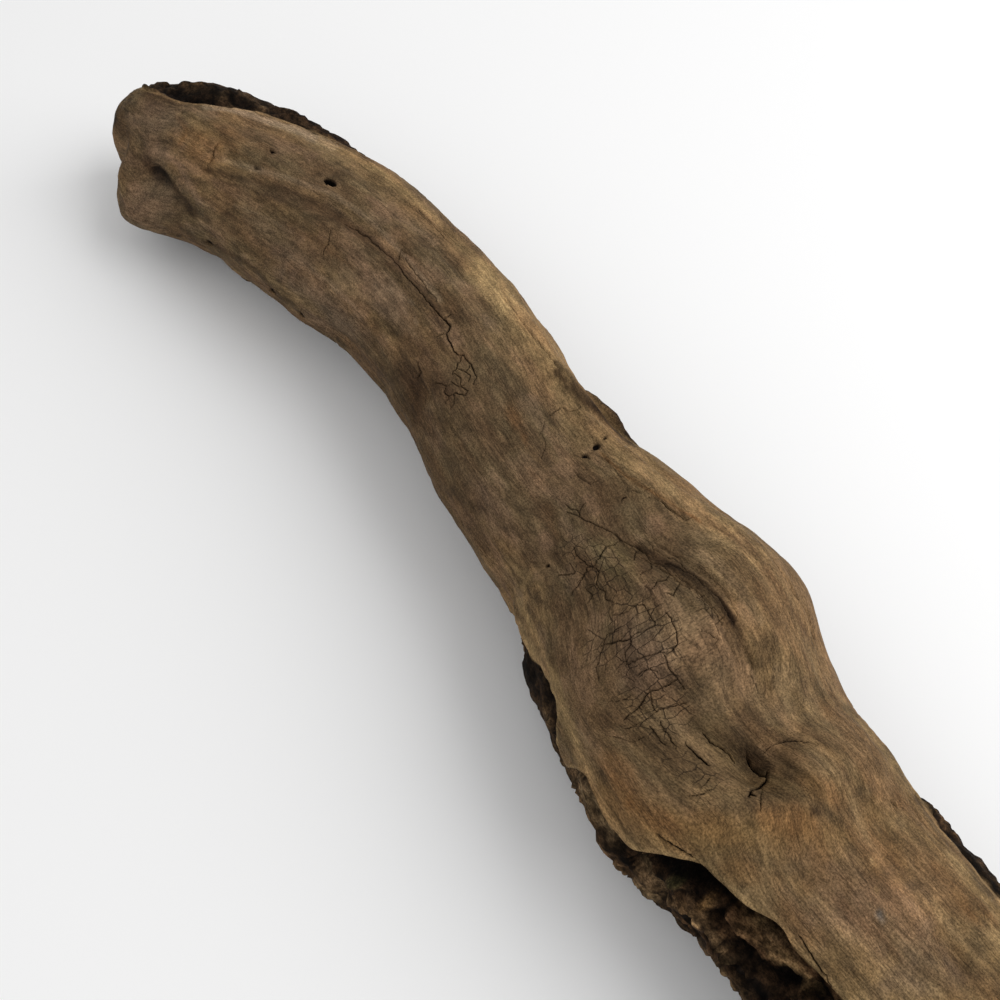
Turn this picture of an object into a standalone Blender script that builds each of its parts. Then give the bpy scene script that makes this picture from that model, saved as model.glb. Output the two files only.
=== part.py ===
"""Weathered piece of driftwood: one solid, lying on a surface, with its rotted belly underneath.

The pith runs roughly along X, thin knuckled end at -X and broken thick end at +X. Y- is the near side,
where the rot has opened a long hollow under the lip of the sound wood, and Y+ is the far side, where the
burl stands out. Z = 0 is the surface that the wood rests on. Lengths are in millimetres until the mesh
is made, angles in degrees round the pith: 0 is the far side, 90 the crown, 180 the near side, 270 the belly.
"""

import math

import bpy
import numpy as np

MM = 0.001

# Rings along the pith, from the thin end to the thick end: where the pith runs, how far the wood
# reaches from it to the near and far sides, and up to the crown and down to the belly.
STATIONS = (
    # x, y, z, near, far, crown, belly
    (-254, 3, 29, 17, 14, 17, 20),
    (-232, 6, 30, 22, 20, 21, 26),
    (-206, 13, 31, 26, 28, 25, 28),
    (-178, 18, 32, 32, 32, 26, 27),
    (-148, 23, 33, 34, 35, 26, 26),
    (-117, 27, 35, 35, 35, 26, 26),
    (-90, 28, 36, 31, 32, 26, 25),
    (-65, 26, 37, 30, 32, 26, 25),
    (-37, 22, 37, 31, 33, 26, 26),
    (-10, 16, 37, 33, 33, 27, 27),
    (16, 12, 36, 34, 34, 28, 28),
    (42, 10, 36, 36, 40, 30, 30),
    (62, 6, 36, 41, 44, 32, 32),
    (82, 2, 36, 45, 47, 33, 34),
    (102, -4, 35, 45, 45, 33, 34),
    (121, -11, 34, 45, 45, 33, 34),
    (142, -14, 34, 39, 45, 32, 34),
    (170, -16, 34, 37, 41, 32, 34),
    (200, -17, 34, 36, 39, 31, 33),
    (230, -18, 34, 35, 37, 30, 32),
    (256, -18, 34, 33, 35, 28, 30),
)
SECTION_POWER = 2.25

# The two ends round off over these lengths. A power over 2 leaves an end blunt.
THIN_CAP = (24.0, 2.3)
THICK_CAP = (11.0, 3.4)
CAP_SHARES = (0.30, 0.52, 0.70, 0.84, 0.94)

# The thick end is a weathered break: how far it leans out towards the near side and the crown,
# and the splinters on it as length along the grain, width across it and depth.
BREAK_LEAN = (-0.16, 0.22)
SPLINTERS = (30.0, 7.5, 6.0)

# Seams between the sound, weathered crown and the rotted belly: x, then the angle of each seam.
FAR_SEAM = ((-262, 60), (-205, 56), (-181, 50), (-165, 38), (-150, 27), (-118, 12), (-50, 6),
            (-24, 22), (5, 28), (25, 18), (50, 4), (110, 2), (150, 8), (178, 24), (205, 26), (262, 15))
NEAR_SEAM = ((-262, 205), (-150, 206), (-60, 208), (0, 206), (40, 200), (62, 195), (82, 192),
             (102, 189), (117, 180), (127, 166), (135, 150), (143, 140), (152, 136), (172, 133),
             (205, 136), (235, 146), (262, 160))

# How deep the rot has eaten in under the near lip, how far the shelf below it stands out,
# and how deep the trough is that runs along the belly.
NEAR_HOLLOW = ((-262, 0), (-100, 1), (20, 2), (45, 5), (80, 5), (112, 7), (127, 17), (138, 15),
               (147, 10), (158, 13), (172, 18), (184, 13), (205, 12), (228, 14), (262, 8))
NEAR_SHELF = ((-262, 0), (30, 0), (46, 4), (62, 6), (82, 1), (100, 0), (120, 2), (160, 2), (262, 0))
FAR_SHELF = ((-262, 1), (-200, 3), (-150, 1), (-110, 0), (-30, 1), (0, 2), (30, 1), (60, 0),
             (150, 0), (178, 3), (200, 3), (262, 0))
BELLY_TROUGH = ((-262, 1), (-180, 3), (-60, 6), (20, 6), (110, 9), (200, 14), (262, 10))
HOLLOW_SPAN = 50.0
TROUGH_ANGLE = 266.0
TROUGH_SPAN = 26.0

# Lines that follow the grain over the crown: height of a ridge or depth of a groove, its
# breadth along the skin, and its course as x and angle.
GRAIN_LINES = (
    ("long_check", -1.6, 3.5, ((-196, 122), (-173, 113), (-155, 116), (-121, 101), (-84, 94),
                               (-58, 95), (-45, 99), (-26, 101))),
    ("far_ridge", 1.6, 6.0, ((-196, 62), (-176, 52), (-150, 40), (-110, 36), (-70, 38), (-30, 46),
                             (0, 50), (30, 50), (60, 46), (88, 40))),
    ("far_flute", -1.5, 5.0, ((-130, 58), (-95, 60), (-50, 66), (-10, 68), (25, 66))),
    ("near_flute", -1.4, 7.0, ((-150, 150), (-110, 142), (-70, 140), (-20, 146), (20, 150))),
    ("burl_crescent", -3.6, 5.0, ((44, 94), (57, 85), (76, 71), (90, 66), (101, 67), (110, 72))),
    ("burl_welt", 2.0, 6.0, ((30, 66), (55, 64), (78, 54), (98, 50), (116, 58))),
    ("fold_sweep", -2.4, 5.0, ((74, 132), (96, 128), (112, 116), (124, 100), (132, 88), (142, 76))),
    ("below_fold", 2.0, 7.0, ((92, 150), (112, 140), (130, 118), (146, 96), (160, 84), (190, 78))),
    ("thick_flute", -1.6, 6.0, ((150, 112), (176, 104), (206, 102), (240, 100))),
)

# Bumps and dents: centre, reach along x, y and z, turn about Z, and the push that its middle gets.
SWELLINGS = (
    ("near_knuckle", (-206, -15, 25), (21, 16, 19), -4, (0, -18, -2)),
    ("knuckle_notch", (-232, -18, 34), (7, 9, 18), 0, (3, 7, -1)),
    ("knuckle_valley", (-202, -12, 48), (26, 6, 14), -5, (0, 3, -8)),
    ("far_shoulder", (-220, 28, 44), (20, 12, 16), 20, (0, 0, 2)),
    ("burl_crown", (80, 8, 68), (32, 22, 20), -15, (0, 0, 4)),
    ("burl_cheek", (82, 42, 44), (24, 14, 26), 0, (0, 4, 0)),
    ("grain_fold", (129, -12, 64), (9, 7, 14), 30, (0, 0, -9)),
    ("saddle", (8, 10, 64), (34, 20, 16), 0, (0, 0, -3)),
    ("far_waist", (-12, 46, 42), (30, 9, 16), 0, (0, -2, 0)),
)

# The wood lies on three low points: the middle of each, its reach, and how far down it comes.
RESTS = (
    ("thin_rest", (-188, 12), 15.0, 9.0),
    ("near_rest", (150, -36), 16.0, 11.0),
    ("far_rest", (98, 27), 17.0, 13.0),
)

# Long flutes in the weathered crown, and coarser ones in the rot: length, width and depth.
CROWN_FLUTES = (80.0, 13.0, 1.6)
ROT_FLUTES = (62.0, 11.0, 5.0)
ROT_PITS = (16.0, 10.0, 2.2)
SEAM_WANDER = (17.0, 4.0)

# Moves the wood so that the bottom centre of its box is the origin.
FRAME_SHIFT = (-5.1, -3.5, 0.0)

# Rows along the pith and columns round it. The crown has the larger share of the columns.
ROWS = 128
CROWN_COLUMNS = 20
ROT_COLUMNS = 18

WOOD_COLOUR = (0.150, 0.100, 0.062, 1.0)
WOOD_ROUGHNESS = 0.82


def along(x, table):
    """The values of a table of (x, value, ...) rows at x, on a smooth curve through the rows."""
    rows = np.array(table, float)
    knots, values = rows[:, 0], rows[:, 1:]
    slopes = np.gradient(values, knots, axis=0)
    x = np.clip(x, knots[0], knots[-1])
    i = np.clip(np.searchsorted(knots, x, side="right") - 1, 0, len(knots) - 2)
    gap = (knots[i + 1] - knots[i])[:, None]
    t = ((x - knots[i])[:, None]) / gap
    return (
        values[i] * (1 + 2 * t) * (1 - t) ** 2
        + slopes[i] * gap * t * (1 - t) ** 2
        + values[i + 1] * t**2 * (3 - 2 * t)
        + slopes[i + 1] * gap * t**2 * (t - 1)
    )


def one_along(x, table):
    """As along, for a table with one value in each row."""
    return along(x, table)[:, 0]


def lattice(ix, iy, iz, seed):
    """A fixed random number from -1 to 1 for each point of a whole-number lattice."""
    n = (ix * 374761393 + iy * 668265263 + iz * 974634777 + seed * 362437) & 0xFFFFFFFF
    n = ((n ^ (n >> 13)) * 1274126177) & 0xFFFFFFFF
    n = ((n ^ (n >> 15)) * 2246822519) & 0xFFFFFFFF
    return ((n ^ (n >> 16)) & 0xFFFFFF) / float(0x7FFFFF) - 1.0


def noise(points, seed):
    """Smooth noise from -1 to 1 that varies over about one unit of the points."""
    cell = np.floor(points).astype(np.int64)
    f = points - cell
    f = f * f * f * (f * (f * 6 - 15) + 10)
    total = np.zeros(len(points))
    for dx in (0, 1):
        for dy in (0, 1):
            for dz in (0, 1):
                weight = (
                    np.where(dx, f[:, 0], 1 - f[:, 0])
                    * np.where(dy, f[:, 1], 1 - f[:, 1])
                    * np.where(dz, f[:, 2], 1 - f[:, 2])
                )
                total += weight * lattice(cell[:, 0] + dx, cell[:, 1] + dy, cell[:, 2] + dz, seed)
    return total


def step(low, high, value):
    """0 below low, 1 above high, and a smooth rise between them."""
    t = np.clip((value - low) / (high - low), 0.0, 1.0)
    return t * t * (3 - 2 * t)


def hump(value, middle, reach):
    """1 at the middle, falling smoothly to 0 a reach and more away."""
    return np.exp(-(((value - middle) / reach) ** 2) * 2.0)


def grained(x, angle, length, width, seed):
    """Noise drawn out along the grain: length along the pith and width round it, in millimetres."""
    turn = np.radians(angle)
    ring = 34.0 / width
    return noise(np.stack([x / length, np.cos(turn) * ring, np.sin(turn) * ring], 1), seed)


def seams(x):
    """The far and near seams' angles at x, wandering a little as a rotted edge does."""
    wavelength, swing = SEAM_WANDER
    spot = np.stack([x / wavelength, np.zeros(len(x)), np.zeros(len(x))], 1)
    far = one_along(x, FAR_SEAM) + swing * noise(spot, 11)
    near = one_along(x, NEAR_SEAM) + swing * noise(spot, 12)
    return far, near


def angle_at(x, round_share):
    """The angle at a share of the way round: 0 to 0.5 crosses the crown, 0.5 to 1 the belly."""
    far, near = seams(x)
    crown = far + (near - far) * round_share / 0.5
    belly = near + (far + 360 - near) * (round_share - 0.5) / 0.5
    return np.where(round_share < 0.5, crown, belly)


def section_radius(angle, near, far, crown, belly):
    """Radius of a rounded section whose four sides reach different distances from the pith."""
    c, s = np.cos(np.radians(angle)), np.sin(np.radians(angle))
    side = np.where(c > 0, far, near)
    rise = np.where(s > 0, crown, belly)
    power = SECTION_POWER
    return (np.abs(c / side) ** power + np.abs(s / rise) ** power) ** (-1 / power)


def grain_lines(x, angle, radius):
    """The ridges and grooves that follow the grain, each fading out towards its two ends."""
    total = np.zeros(len(x))
    for _, height, breadth, course in GRAIN_LINES:
        start, stop = course[0][0], course[-1][0]
        fade = step(start - 6, start + 14, x) * (1 - step(stop - 14, stop + 6, x))
        aside = np.radians(angle - one_along(x, course)) * radius
        total += height * fade * np.exp(-((aside / breadth) ** 2))
    return total


def relief(x, angle, radius):
    """What weather and rot add to the section's radius, in millimetres."""
    far, near = seams(x)
    from_near = angle - near
    rot = step(0.0, 4.0, from_near) * (1 - step(-4.0, 0.0, angle - (far + 360)))
    length, width, depth = CROWN_FLUTES
    crown = depth * grained(x, angle, length, width, 1) + grain_lines(x, angle, radius)
    length, width, depth = ROT_FLUTES
    rotted = -depth * np.abs(grained(x, angle, length, width, 2)) + 0.3 * depth
    length, width, depth = ROT_PITS
    rotted += depth * grained(x, angle, length, width, 3)
    hollow = one_along(x, NEAR_HOLLOW)
    rotted -= hollow * hump(from_near, 14.0, HOLLOW_SPAN / 2)
    rotted += one_along(x, NEAR_SHELF) * hump(from_near, 22.0, HOLLOW_SPAN / 2)
    rotted += one_along(x, FAR_SHELF) * hump(angle, far + 350, 18.0)
    rotted -= one_along(x, BELLY_TROUGH) * hump(angle, TROUGH_ANGLE, TROUGH_SPAN)
    return crown * (1 - rot) + rotted * rot


def cap_share(x, ends):
    """How much of the full section is left at x, as the two ends round off."""
    share = np.ones(len(x))
    for reach, (end, (length, power)) in zip((x - ends[0], ends[1] - x), zip(ends, (THIN_CAP, THICK_CAP))):
        into = np.clip(1 - reach / length, 0, 1)
        share *= (1 - into**power) ** (1 / power)
    return share


def lower_rests(points):
    """Brings the belly down to the surface at each rest."""
    for _, middle, reach, drop in RESTS:
        away = ((points[:, :2] - np.array(middle, float)) ** 2).sum(1)
        below = 1 - step(8.0, 26.0, points[:, 2])
        points[:, 2] -= drop * np.exp(-away / reach**2) * below


def swell(points):
    """Pushes the points out or in around each named bump and dent."""
    moved = points.copy()
    for _, centre, reach, turn, push in SWELLINGS:
        away = points - np.array(centre, float)
        c, s = math.cos(math.radians(turn)), math.sin(math.radians(turn))
        local = np.stack(
            [away[:, 0] * c + away[:, 1] * s, away[:, 1] * c - away[:, 0] * s, away[:, 2]], 1
        )
        weight = np.exp(-((local / np.array(reach, float)) ** 2).sum(1))
        moved += weight[:, None] * np.array(push, float)
    return moved


def surface(x, round_share):
    """Points of the wood's skin, in millimetres, at a place along the pith and a share of the way round."""
    ends = (STATIONS[0][0], STATIONS[-1][0])
    y, z, near, far, crown, belly = along(x, STATIONS).T
    ahead = along(x + 1.0, STATIONS)[:, 0] - along(x - 1.0, STATIONS)[:, 0]
    heading = np.arctan2(ahead, 2.0)
    angle = angle_at(x, round_share)
    radius = section_radius(angle, near, far, crown, belly)
    share = cap_share(x, ends)
    radius = (radius + relief(x, angle, radius) * share) * share
    across = radius * np.cos(np.radians(angle))
    points = np.stack(
        [
            x - across * np.sin(heading),
            y + across * np.cos(heading),
            z + radius * np.sin(np.radians(angle)),
        ],
        1,
    )
    length, width, depth = SPLINTERS
    splinters = noise(points / np.array([length, width, width]), 5) * depth
    lean = BREAK_LEAN[0] * (points[:, 1] - y) + BREAK_LEAN[1] * (points[:, 2] - z)
    points[:, 0] += (splinters + lean) * step(ends[1] - 30, ends[1], x)
    points = swell(points)
    lower_rests(points)
    points[:, 2] = np.maximum(points[:, 2], 0.0)
    return points + np.array(FRAME_SHIFT)


def cap_rows(cap):
    """How far in from an end the rings of its cap are, so that they close in evenly on its middle."""
    length, power = cap
    shares = np.array(CAP_SHARES)
    return length * (1 - (1 - shares**power) ** (1 / power))


def rows_along():
    """Places of the rings: even along the wood, and closer where the ends round off."""
    start, stop = STATIONS[0][0], STATIONS[-1][0]
    thin = start + cap_rows(THIN_CAP)
    thick = stop - cap_rows(THICK_CAP)
    middle = np.linspace(start + THIN_CAP[0], stop - THICK_CAP[0], ROWS - 2 * len(CAP_SHARES))
    return np.concatenate([thin, middle, thick[::-1]])


def shares_round():
    """Shares of the way round: the crown's columns, then the belly's, close together at both seams."""
    crown = np.linspace(0, 0.5, CROWN_COLUMNS, endpoint=False)
    belly = np.linspace(0, 1, ROT_COLUMNS, endpoint=False)
    belly = 0.5 + 0.5 * (belly + 0.35 * belly * (1 - belly) * (2 * belly - 1))
    return np.concatenate([crown, belly])


def driftwood_mesh():
    """One closed skin of rings along the pith, with a point at the middle of each end."""
    xs, shares = rows_along(), shares_round()
    rings, columns = len(xs), len(shares)
    skin = surface(np.repeat(xs, columns), np.tile(shares, rings))
    first, last = skin[:columns].mean(0), skin[-columns:].mean(0)
    first[0] -= 1.5
    faces = []
    for ring in range(rings - 1):
        for column in range(columns):
            beside = (column + 1) % columns
            a, b = ring * columns + column, ring * columns + beside
            faces.append((a, b, b + columns, a + columns))
    thin_pole, thick_pole, start = len(skin), len(skin) + 1, (rings - 1) * columns
    for column in range(columns):
        beside = (column + 1) % columns
        faces.append((thin_pole, beside, column))
        faces.append((thick_pole, start + column, start + beside))
    points = np.vstack([skin, first, last]) * MM
    mesh = bpy.data.meshes.new("driftwood")
    mesh.from_pydata([tuple(p) for p in points], [], faces)
    mesh.shade_smooth()
    return mesh


def wood_material():
    material = bpy.data.materials.new("weathered_wood")
    material.use_nodes = True
    shader = material.node_tree.nodes["Principled BSDF"]
    shader.inputs["Base Color"].default_value = WOOD_COLOUR
    shader.inputs["Roughness"].default_value = WOOD_ROUGHNESS
    shader.inputs["Metallic"].default_value = 0.0
    return material


def clear_scene():
    for thing in list(bpy.data.objects):
        bpy.data.objects.remove(thing)


def main():
    clear_scene()
    driftwood = bpy.data.objects.new("driftwood", driftwood_mesh())
    driftwood.data.materials.append(wood_material())
    bpy.context.scene.collection.objects.link(driftwood)


main()
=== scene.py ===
"""Looks for the piece of driftwood: one fine skin over the frame's form, with cracks, bore holes and rot.

The skin makes the solid's form again on a finer mesh, which is finest where the photograph shows cracks.
Lengths are in millimetres until the mesh is made, and angles in degrees round the pith, as in the solid:
0 is the far side, 90 the crown, 180 the near side and 270 the belly. Places named in pixels are pixels of
the 1000 x 1000 photograph, and fall on the wood that the camera sees there. An oval's place and size are
x and y of its centre, half length, half width and its turn clockwise in degrees.
"""

import math
from itertools import product

import bmesh
import bpy
import numpy as np
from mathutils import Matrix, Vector


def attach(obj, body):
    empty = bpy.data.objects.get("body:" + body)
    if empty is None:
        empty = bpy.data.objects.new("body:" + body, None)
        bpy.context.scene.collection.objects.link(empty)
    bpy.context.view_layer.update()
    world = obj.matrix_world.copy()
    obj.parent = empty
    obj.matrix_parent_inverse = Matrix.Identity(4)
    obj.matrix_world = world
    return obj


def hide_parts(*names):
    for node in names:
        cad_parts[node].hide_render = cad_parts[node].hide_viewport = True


MM = 0.001

# The form: the solid's stations, trough, bumps and rests. The seams, shelves, hollow and some of the lines
# are placed more closely than the solid's. A station is x, y, z of the pith and the reach to the near and
# far sides, the crown and the belly. Seams, rims and shelves are x and a value.
STATIONS = (
    (-254, 3, 29, 17, 14, 17, 20), (-232, 6, 30, 22, 20, 21, 26), (-206, 13, 31, 26, 28, 25, 28),
    (-178, 18, 32, 32, 32, 26, 27), (-148, 23, 33, 34, 35, 26, 26), (-117, 27, 35, 35, 35, 26, 26),
    (-90, 28, 36, 31, 32, 26, 25), (-65, 26, 37, 30, 32, 26, 25), (-37, 22, 37, 31, 33, 26, 26),
    (-10, 16, 37, 33, 33, 27, 27), (16, 12, 36, 34, 34, 28, 28), (42, 10, 36, 36, 40, 30, 30),
    (62, 6, 36, 41, 44, 32, 32), (82, 2, 36, 45, 47, 33, 34), (102, -4, 35, 45, 45, 33, 34),
    (121, -11, 34, 45, 45, 33, 34), (142, -14, 34, 39, 45, 32, 34), (170, -16, 34, 37, 41, 32, 34),
    (200, -17, 34, 36, 39, 31, 33), (230, -18, 34, 35, 37, 30, 32), (256, -18, 34, 33, 35, 28, 30),
)
SECTION_POWER = 2.25
THIN_CAP = (24.0, 2.3)
THICK_CAP = (11.0, 3.4)
CAP_SHARES = (0.08, 0.17, 0.26, 0.35, 0.43, 0.51, 0.58, 0.65, 0.71, 0.77, 0.82, 0.87, 0.91, 0.94, 0.97, 0.99)
BREAK_LEAN = (-0.16, 0.22)
BREAK_REACH = 30
FAR_SEAM = ((-262, 80), (-235, 86), (-212, 86), (-197, 71), (-183, 57), (-170, 45), (-160, 36),
            (-150, 24), (-136, 13), (-118, 10), (-50, 6), (-24, 22), (5, 28), (25, 18), (50, 4),
            (110, 2), (150, 14), (165, 22), (180, 27), (195, 33), (215, 32), (262, 20))
NEAR_SEAM = ((-262, 205), (-150, 206), (-60, 208), (0, 206), (30, 196), (44, 186), (54, 177),
             (60, 172), (68, 167), (77, 164), (83, 164), (88, 171), (94, 182), (100, 185),
             (105, 177), (109, 169), (115, 163), (122, 162), (127, 160), (130, 154), (134, 148),
             (139, 141), (146, 138), (155, 135), (165, 131), (176, 129), (205, 132), (235, 144),
             (262, 160))
FAR_RIM = ((-262, 410), (-205, 406), (-181, 400), (-165, 388), (-150, 377), (-118, 362), (-50, 356),
           (-24, 372), (5, 378), (25, 368), (50, 354), (110, 352), (150, 358), (178, 374),
           (205, 376), (262, 365))
NEAR_RIM = ((-262, 227), (0, 228), (30, 223), (46, 221), (62, 217), (82, 214), (102, 211),
            (112, 206), (120, 202), (135, 198), (152, 200), (205, 200), (262, 205))
NEAR_RIM_SPAN = 25.0
FAR_RIM_SPAN = 18.0
LIP_SPAN = 3.0
# x, depth, degrees from the seam, and reach in degrees
NEAR_HOLLOW = (
    (-262, 0, 10, 12), (-100, 1, 10, 12), (20, 2, 9, 12), (45, 3, 8, 11), (80, 4, 8, 11), (100, 3, 7, 10),
    (112, 4, 7, 11), (120, 8, 9, 15), (127, 16, 13, 22), (138, 15, 14, 25), (147, 10, 14, 25),
    (158, 13, 14, 25), (172, 18, 14, 25), (184, 13, 14, 25), (205, 12, 14, 25), (228, 14, 14, 25),
    (262, 8, 14, 25),
)
NEAR_SHELF = ((-262, 0), (-190, -1), (-160, 0), (-120, 0), (30, 1), (46, 7), (62, 9), (82, 5),
              (102, 3), (112, 2), (120, 1), (130, -2), (145, -3), (160, -3), (200, -3), (262, -2))
FAR_SHELF = ((-262, 1), (-200, 4), (-165, 4), (-150, 1), (-130, -1), (-60, -1), (-36, -4), (-24, -4),
             (-8, 0), (15, 2), (28, -2), (40, -3), (60, -1), (130, -2), (150, -4), (158, -1), (168, 4),
             (180, 4), (200, 3), (262, 0))
BELLY_TROUGH = ((-262, 1), (-180, 3), (-60, 6), (20, 6), (110, 9), (200, 14), (262, 10))
TROUGH_ANGLE = 266.0
TROUGH_SPAN = 26.0
# height, half breadth, and course as x and angle; each fades from outside its ends to inside them
GRAIN_LINES = (
    ("long_check", -1.6, 3.5, ((-196, 122), (-173, 113), (-155, 116), (-121, 101), (-84, 94), (-58, 95),
     (-45, 99), (-26, 101))),
    ("far_ridge", 1.6, 6.0, ((-196, 62), (-176, 52), (-150, 40), (-110, 36), (-70, 38), (-30, 46), (0, 50),
     (30, 50), (60, 46), (88, 40))),
    ("far_flute", -1.5, 5.0, ((-130, 58), (-95, 60), (-50, 66), (-10, 68), (25, 66))),
    ("near_flute", -1.4, 7.0, ((-150, 150), (-110, 142), (-70, 140), (-20, 146), (20, 150))),
    ("burl_crescent", -2.9, 5.0, ((44, 97), (57, 90), (76, 77), (90, 71), (101, 71), (110, 76))),
    ("burl_welt", 2.0, 6.0, ((30, 66), (55, 64), (78, 54), (98, 50), (116, 58))),
    ("fold_sweep", -2.4, 5.0, ((74, 132), (96, 128), (112, 116), (124, 100), (132, 88), (142, 76))),
    ("below_fold", 2.0, 7.0, ((92, 150), (112, 140), (130, 118), (146, 96), (160, 84), (190, 78))),
    ("thick_flute", -1.6, 6.0, ((150, 112), (176, 104), (206, 102), (240, 100))),
    ("cheek_swell", 1.4, 9.0, ((54, 44), (70, 34), (86, 27), (98, 26))),
    ("far_sliver", -2.4, 2.4, ((-14, 56), (-1, 53), (8, 46), (20, 43), (34, 44), (48, 42))),
    ("crescent_fibre", 0.8, 1.6, ((58, 98), (70, 89), (84, 82), (98, 81), (108, 84))),
    ("crescent_groove", -0.8, 1.2, ((60, 93), (74, 83), (88, 76), (100, 75), (108, 79))),
    ("crescent_thread", -0.7, 1.0, ((62, 88), (76, 78), (90, 70), (104, 69), (112, 73))),
    ("outer_thread", -0.5, 1.0, ((52, 84), (70, 72), (88, 61), (104, 59), (116, 64))),
)
LINE_FADE = (6, 14)
# centre, reach in each direction, turn, and push
SWELLINGS = (
    ("near_knuckle", (-206, -15, 25), (21, 16, 19), -4, (0, -18, -2)),
    ("knuckle_notch", (-232, -18, 34), (7, 9, 18), 0, (3, 7, -1)),
    ("knuckle_valley", (-202, -12, 48), (26, 6, 14), -5, (0, 3, -8)),
    ("far_shoulder", (-220, 28, 44), (20, 12, 16), 20, (0, 0, 2)),
    ("burl_crown", (80, 8, 68), (32, 22, 20), -15, (0, 0, 4)),
    ("burl_cheek", (82, 42, 44), (24, 14, 26), 0, (0, 4, 0)),
    ("grain_fold", (129, -12, 64), (9, 7, 14), 30, (0, 0, -9)),
    ("saddle", (8, 10, 64), (34, 20, 16), 0, (0, 0, -3)),
    ("far_waist", (-12, 46, 42), (30, 9, 16), 0, (0, -2, 0)),
)
# middle, reach and drop, and the heights between which a rest's pull on the belly fades out
RESTS = (
    ("thin_rest", (-188, 12), 15.0, 9.0),
    ("near_rest", (150, -36), 16.0, 11.0),
    ("far_rest", (98, 27), 17.0, 13.0),
)
REST_HEIGHTS = (8.0, 26.0)
# length along the grain, width round it and depth; for the splinters depth, length, width and seed
CROWN_FLUTES = (80.0, 13.0, 1.6)
ROT_FLUTES = (62.0, 11.0, 5.0)
ROT_PITS = (16.0, 10.0, 2.2)
SPLINTERS = ((6.0, 30.0, 7.5, 5), (1.6, 9.0, 2.6, 6), (0.6, 4.0, 1.2, 7))
MEAN_RADIUS = 34.0
SEAM_WANDER = (9.0, 2.0)
FRAME_SHIFT = np.array((-5.1, -3.5, 0.0))

# The camera stands where the photographer stood: degrees above the level and round the wood, the
# distance to the target in millimetres, and the lens. A pixel of the wood is about PIXEL millimetres.
ELEVATION = 60.0
AZIMUTH = 50.0
DISTANCE = 410.0
TARGET = np.array((0.0, 0.0, 30.0)) + FRAME_SHIFT
LENS = 42.0
SENSOR = 36.0
PHOTO_SIZE = 1000
PIXEL = 0.35

# The floor and the light, in metres and watts: a lamp is its name, place, size and strength.
FLOOR_REACH = 3
FLOOR_GAP = 0.0002
FLOOR_TONE = (0.95, 0.95, 0.95, 1)
LIGHTS = (("key", (0.75, 0.90, 1.0), 1.5, 19.5), ("fill", (-0.9, -0.9, 1.0), 1.4, 2.0))
LIT_SPOT = (0, 0, 0.03)
SKY_LIGHT = 0.56

# The skin: rings along, columns over the crown and over the belly, and how much closer those stand to the
# lips. The wrap is in the belly. From HOLLOW_START on, the rot in the photograph gets smaller faces.
RINGS = 344
CROWN_COLUMNS = 78
ROT_COLUMNS = 44
CLOSER_TO_LIPS = 1.25
WRAP = 0.75
HOLLOW_START = 110

# The thick end's broken face: where it begins and is whole, along the pith.
BROKEN_END = (249.0, 256.0)

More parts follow.
